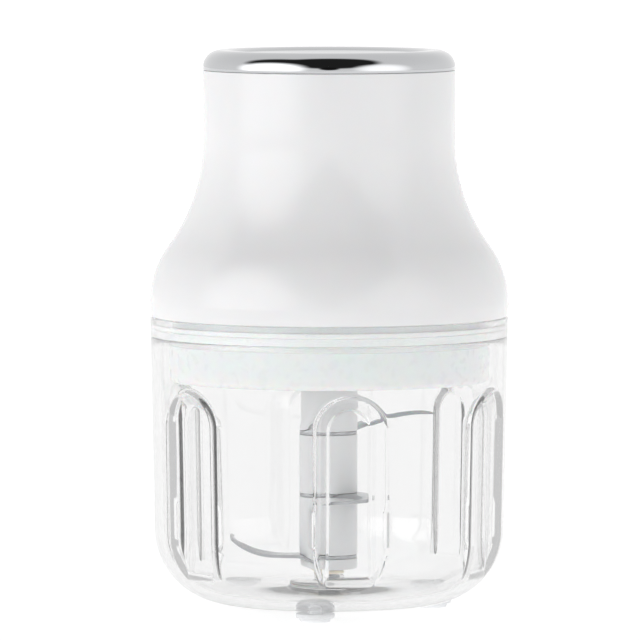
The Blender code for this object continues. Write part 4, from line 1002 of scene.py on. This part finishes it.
class CHOPPER_OT_head(bpy.types.Operator):
    """Builds the bell-shaped housing with its charging port and the port's plug"""

    bl_idname = "chopper.head"
    bl_label = "Head housing"

    def execute(self, context):
        settings = context.scene.chopper_head
        belly_r, bottom, top, _ = span("head_housing")
        neck_r = span("trim_ring")[0]
        belly_z = bottom + settings.belly_rise
        neck_top = top + GAP - SEAM
        neck_edge = 0.25 * MM
        outer = [(neck_r, neck_top, neck_edge), *bell(settings, neck_r, belly_r, belly_z, 0)]
        outer += [(settings.hem_r, bottom, ROUND_EDGE)]
        upward = bell(settings, neck_r, belly_r, belly_z, settings.wall)[::-1]
        inner = [(settings.hem_r - settings.wall, bottom), *upward]
        inner += [(neck_r - settings.wall, neck_top)]
        housing = as_object("head_housing_fine", spin(rounded(outer + inner)))
        low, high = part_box("port_plug")
        centre_z = (low.z + high.z) / 2
        floor_y = neck_r - PORT_RECESS
        width, height = settings.port_width, settings.port_height
        recess = port_solid(width, height, floor_y, neck_r + 2 * OVER, centre_z, PORT_EDGE)
        hole = port_solid(*PORT_HOLE, neck_r - 6 * OVER, neck_r, centre_z, PORT_HOLE_EDGE)
        carve(housing, as_object("port_recess", recess), as_object("port_hole", hole))
        settle(housing, "gloss_white_abs", "white_gloss", "head", "head_housing")
        self.add_plug(width, height, neck_r, floor_y, centre_z)
        return {"FINISHED"}

    def add_plug(self, width, height, neck_r, floor_y, centre_z):
        """A soft plug that follows the neck's round face, with a finger groove along its lower edge."""
        width -= 2 * PLUG_CLEAR
        plug_height = height - 2 * PLUG_CLEAR
        near, far = floor_y + SEAM, neck_r + OVER
        flange = port_solid(width, plug_height, near, far, centre_z, PORT_EDGE - PLUG_CLEAR)
        plug = as_object("port_plug_fine", flange)
        low, high = centre_z - 9 * OVER, centre_z + 9 * OVER
        skin = spin([(0, high), (neck_r, high), (neck_r, low), (0, low)], False)
        carve(plug, as_object("neck_skin", skin), operation="INTERSECT")
        near, far = floor_y - PLUG_STEM_LENGTH, floor_y + PLUG_STEM_ROOT
        stem = port_solid(*PLUG_STEM, near, far, centre_z, PLUG_STEM_EDGE)
        carve(plug, as_object("plug_stem", stem), operation="UNION")
        notch_z = centre_z - height / 2
        low = (-PLUG_NOTCH_HALF, neck_r - PLUG_NOTCH_DEPTH, notch_z - OVER)
        notch = block(low, (PLUG_NOTCH_HALF, neck_r + 2 * OVER, notch_z + PLUG_NOTCH_HEIGHT))
        carve(plug, as_object("plug_notch", notch))
        settle(plug, "milky_silicone", "milky_silicone", "plug", "port_plug")


class CHOPPER_OT_top(bpy.types.Operator):
    """Builds the bright trim ring and the dished press button"""

    bl_idname = "chopper.top"
    bl_label = "Trim ring and button"

    def execute(self, context):
        settings = context.scene.chopper_top
        radius, _, top, _ = span("trim_ring")
        head_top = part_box("head_housing")[1].z
        button_low, button_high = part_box("top_button")
        lip_r = button_high.x
        button_r = lip_r - 1.3 * MM
        bore_r = button_r + 0.3 * MM
        bottom = head_top + GAP
        shoulder = arc((radius - settings.shoulder, top - settings.shoulder), settings.shoulder, 90, 0, 24)
        crown = []
        crown_steps = 6
        for i in range(crown_steps + 1):
            t = i / crown_steps
            crown_r = bore_r + (settings.crest_r - bore_r) * t
            crown.append((crown_r, top - settings.inner_drop * (1 - t) ** 2))
        spigot_r = radius - 2.5 * MM
        lip_z = bottom + 0.6 * MM
        ring = [
            *crown,
            *shoulder,
            (radius, bottom, FINE_EDGE),
            (spigot_r, bottom),
            (spigot_r, bottom - 4.0 * MM, SMALL_EDGE),
            (spigot_r - 1.5 * MM, bottom - 4.0 * MM, SMALL_EDGE),
            (spigot_r - 1.5 * MM, lip_z),
            (bore_r, lip_z, FINE_EDGE),
        ]
        turned("trim_ring_fine", ring, "bright_chrome_plate", "chrome_plate", "head", "trim_ring")
        edge_z = button_high.z
        dish = []
        dish_steps = 16
        for i in range(dish_steps + 1):
            share = i / dish_steps
            dish.append((button_r * 0.97 * share, edge_z - settings.dish * (1 - share * share)))
        lip_top = lip_z - GAP
        skirt_r = button_r - 1.6 * MM
        under = edge_z - settings.dish - 1.6 * MM
        stem_r = 3.1 * MM
        button = [
            *dish,
            (button_r, edge_z - 0.02 * MM, ROUND_EDGE),
            (button_r, lip_top),
            (lip_r, lip_top, FINE_EDGE),
            (lip_r, lip_top - 1.2 * MM, FINE_EDGE),
            (skirt_r, lip_top - 1.2 * MM, FINE_EDGE),
            (skirt_r, under, SOFT_EDGE),
            (stem_r, under, DEEP_FILLET),
            (stem_r, button_low.z, SMALL_EDGE),
            (0, button_low.z),
        ]
        piece = "top_button_fine"
        turned(piece, button, "bright_chrome_plate", "chrome_plate", "button", "top_button", False)
        return {"FINISHED"}


class CHOPPER_OT_base(bpy.types.Operator):
    """Builds the head's base with its spigot, its screws and the seal round the spigot"""

    bl_idname = "chopper.base"
    bl_label = "Head base"

    def execute(self, context):
        flange_r, bottom, top, _ = span("head_base")
        seal_r, seal_low, seal_high, _ = span("spigot_seal")
        spigot_r = seal_r - 0.5 * MM
        groove_r = spigot_r - 1.0 * MM
        flange_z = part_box("base_screw_1")[0].z - GAP
        hole_r = span("shaft_seal")[0] + SEAM
        floor = bottom + 2.0 * MM
        wall_r = spigot_r - 2.0 * MM
        nest_r = span("gearbox_case")[0] + GAP
        nest_top = floor + 4.0 * MM
        section = [
            (flange_r, top, SMALL_EDGE),
            (flange_r, flange_z, FILLET),
            (spigot_r, flange_z, FILLET),
            (spigot_r, seal_high + SEAM, FINE_EDGE),
            (groove_r, seal_high + SEAM),
            (groove_r, seal_low - SEAM),
            (spigot_r, seal_low - SEAM, FINE_EDGE),
            (spigot_r, bottom, 0.8 * MM),
            (hole_r, bottom, FINE_EDGE),
            (hole_r, floor),
            (nest_r, floor),
            (nest_r, nest_top, SMALL_EDGE),
            (nest_r + 1.5 * MM, nest_top, SMALL_EDGE),
            (nest_r + 1.5 * MM, floor, FILLET),
            (wall_r, floor, FILLET),
            (wall_r, top, SMALL_EDGE),
        ]
        base = as_object("head_base_fine", spin(rounded(section)))
        cutters = []
        hole_top = top + OVER
        for i in range(3):
            node = f"base_screw_{i + 1}"
            head_r, head_low, _, at = span(node)
            sink_r = head_r + 0.15 * MM
            sink_top, sink_low = head_low + 1.3 * MM, head_low - 2 * OVER
            sink = [(0, sink_top), (sink_r, sink_top), (sink_r, sink_low), (0, sink_low)]
            cutters.append(as_object(f"screw_sink_{i + 1}", spin(sink, False, SCREW_TURN), at))
            thread_r = 1.15 * MM
            hole = [(0, hole_top), (thread_r, hole_top), (thread_r, head_low), (0, head_low)]
            cutters.append(as_object(f"screw_hole_{i + 1}", spin(hole, False, HOLE_TURN), at))
        _, pin_low, _, pin_at = span("interlock_pin")
        pin_r = 1.35 * MM
        pin = [(0, hole_top), (pin_r, hole_top), (pin_r, pin_low), (0, pin_low)]
        cutters.append(as_object("interlock_hole", spin(pin, False, HOLE_TURN), pin_at))
        carve(base, *cutters)
        settle(base, "gloss_white_abs", "white_gloss", "head", "head_base")
        seal = [
            (seal_r, seal_high, FILLET),
            (seal_r, seal_low, FILLET),
            (groove_r + SEAM, seal_low, FINE_EDGE),
            (groove_r + SEAM, seal_high, FINE_EDGE),
        ]
        turned("spigot_seal_fine", seal, "milky_silicone", "milky_silicone", "head", "spigot_seal")
        for i in range(3):
            self.add_screw(f"base_screw_{i + 1}")
        return {"FINISHED"}

    def add_screw(self, node):
        """A pan-head screw with a cross recess."""
        head_r, head_low, top, at = span(node)
        head_top = head_low + 1.1 * MM
        thread_r = 1.0 * MM
        corners = [
            (0, top),
            (thread_r * 0.4, top),
            (thread_r, top - 1 * MM),
            (thread_r, head_top),
            (head_r, head_top, FINE_EDGE),
            (head_r, head_low, DEEP_FILLET),
            (0, head_low),
        ]
        screw = as_object(f"{node}_fine", spin(rounded(corners, False), False, SCREW_TURN), at)
        reach, thin, deep = 1.0 * MM, 0.2 * MM, 0.7 * MM
        arms = []
        for i, (x, y) in enumerate(((reach, thin), (thin, reach))):
            arm = block((-x, -y, head_low - 1 * MM), (x, y, head_low + deep))
            arms.append(as_object(f"{node}_recess_{i + 1}", arm, at))
        carve(screw, *arms)
        settle(screw, "zinc_plated_steel", "plain_steel", "head", node)


# ---------------------------------------------------------------- inside pieces

class CHOPPER_OT_inside(bpy.types.Operator):
    """Gives every CAD node that stays the finish of its material slot"""

    bl_idname = "chopper.inside"
    bl_label = "Inside pieces"

    def execute(self, context):
        slots = {part["node"]: part["material_slot"] for part in frame["record"]["subparts"]}
        for name, node in frame["nodes"].items():
            if node.hide_render:
                continue
            chosen = finish(SLOT_FINISH[slots[name]])
            for material_slot in node.material_slots:
                material_slot.material = chosen
        return {"FINISHED"}


# ---------------------------------------------------------------- stage

# Soft patches of the studio as the object sees it: direction, the angle from it where the patch is full
# and where it ends, in degrees, and its brightness
CEILING_LIGHT = 0.86
HORIZON_LIGHT = 0.95
PATCHES = (
    ("dark_above_front", (0.02, -0.75, 0.95), 31, 42, 0.02),
    ("dark_above_left", (-0.85, -0.45, 0.95), 20, 32, 0.02),
    ("left_softbox", (-0.88, -0.58, 0.22), 12, 40, 2.6),
    ("right_softbox", (0.95, -0.75, 0.22), 6, 33, 1.7),
    ("gap_at_camera", (0.0, -1.0, 0.25), 6, 11, 0.01),
)


class CHOPPER_OT_stage(bpy.types.Operator):
    """Builds the camera, the pale floor and the soft studio light"""

    bl_idname = "chopper.stage"
    bl_label = "Stage"

    def execute(self, context):
        settings = context.scene.chopper_stage
        self.add_camera(context, settings)
        self.add_floor(settings)
        self.add_light(context)
        context.scene.view_settings.view_transform = "Standard"
        return {"FINISHED"}

    def add_camera(self, context, settings):
        camera = bpy.data.cameras.new("camera")
        camera.sensor_width = 36.0
        camera.lens = camera.sensor_width * settings.distance / settings.frame_width
        camera.clip_end = 50.0
        holder = bpy.data.objects.new("camera", camera)
        aim = Vector((-settings.aim_side, 0, settings.aim_height))
        back = Vector((0, -math.cos(settings.pitch), math.sin(settings.pitch)))
        holder.location = aim + back * settings.distance
        holder.rotation_euler = (math.pi / 2 - settings.pitch, 0, 0)
        context.scene.collection.objects.link(holder)
        context.scene.camera = holder

    def add_floor(self, settings):
        work = bmesh.new()
        floor_reach = 12.0
        bmesh.ops.create_grid(work, x_segments=8, y_segments=8, size=floor_reach)
        floor = as_object("floor", work)
        # Opal acrylic, cast and flame-polished, lit a little from below: plain white with hardly any shadow
        tone = tuple(settings.floor)
        table = surface(
            "opal_acrylic_table", tone, darker(tone, 0.005), 40 * MM, (0.85, 0.95),
            Emission_Color=(1.0, 1.0, 1.0, 1.0), Emission_Strength=settings.floor_glow,
        )
        floor.data.materials.append(table)

    def add_light(self, context):
        world = bpy.data.worlds.new("studio")
        context.scene.world = world
        world.use_nodes = True
        tree = world.node_tree
        background = tree.nodes["Background"]
        place = add_node(tree, "ShaderNodeTexCoord", {})
        direction = place.outputs["Generated"]
        parts = add_node(tree, "ShaderNodeSeparateXYZ", {"Vector": direction})
        light = add_node(
            tree,
            "ShaderNodeMapRange",
            {"Value": parts.outputs["Z"], "From Max": 0.8, "To Min": HORIZON_LIGHT, "To Max": CEILING_LIGHT},
            interpolation_type="SMOOTHSTEP",
        ).outputs["Result"]
        for name, axis, full, end, brightness in PATCHES:
            facing = add_node(
                tree,
                "ShaderNodeVectorMath",
                {0: direction, 1: Vector(axis).normalized()},
                operation="DOT_PRODUCT",
            )
            inside = add_node(
                tree,
                "ShaderNodeMapRange",
                {
                    "Value": facing.outputs["Value"],
                    "From Min": math.cos(math.radians(end)),
                    "From Max": math.cos(math.radians(full)),
                },
                interpolation_type="SMOOTHSTEP",
                label=name,
            )
            light = add_node(
                tree,
                "ShaderNodeMix",
                {"Factor": inside.outputs["Result"], "A": light, "B": brightness},
                data_type="FLOAT",
            ).outputs["Result"]
        tree.links.new(light, background.inputs["Color"])
        background.inputs["Strength"].default_value = 1.0


# ---------------------------------------------------------------- panel and registration

OPERATORS = (
    CHOPPER_OT_stage,
    CHOPPER_OT_bowl,
    CHOPPER_OT_feet,
    CHOPPER_OT_blades,
    CHOPPER_OT_lid,
    CHOPPER_OT_head,
    CHOPPER_OT_top,
    CHOPPER_OT_base,
    CHOPPER_OT_inside,
)
SETTINGS = {
    "chopper_bowl": BowlSettings,
    "chopper_blades": BladeSettings,
    "chopper_lid": LidSettings,
    "chopper_head": HeadSettings,
    "chopper_top": TopSettings,
    "chopper_stage": StageSettings,
}


class CHOPPER_PT_panel(bpy.types.Panel):
    """Lists the chopper's pieces and their sizes and colours"""

    bl_idname = "CHOPPER_PT_panel"
    bl_label = "Mini Food Chopper"
    bl_space_type = "VIEW_3D"
    bl_region_type = "UI"
    bl_category = "Chopper"

    def draw(self, context):
        for name in SETTINGS:
            group = getattr(context.scene, name)
            box = self.layout.box()
            for key in group.__annotations__:
                box.prop(group, key)
        for operator in OPERATORS:
            self.layout.operator(operator.bl_idname)


CLASSES = (*SETTINGS.values(), *OPERATORS, CHOPPER_PT_panel)


def register():
    for made in CLASSES:
        bpy.utils.register_class(made)
    for name, group in SETTINGS.items():
        setattr(bpy.types.Scene, name, PointerProperty(type=group))


def unregister():
    for name in SETTINGS:
        delattr(bpy.types.Scene, name)
    for made in reversed(CLASSES):
        bpy.utils.unregister_class(made)


def main():
    register()
    bpy.ops.chopper.stage()
    bpy.ops.chopper.bowl()
    bpy.ops.chopper.feet()
    bpy.ops.chopper.blades()
    bpy.ops.chopper.lid()
    bpy.ops.chopper.head()
    bpy.ops.chopper.top()
    bpy.ops.chopper.base()
    bpy.ops.chopper.inside()


if __name__ == "__main__":
    main()
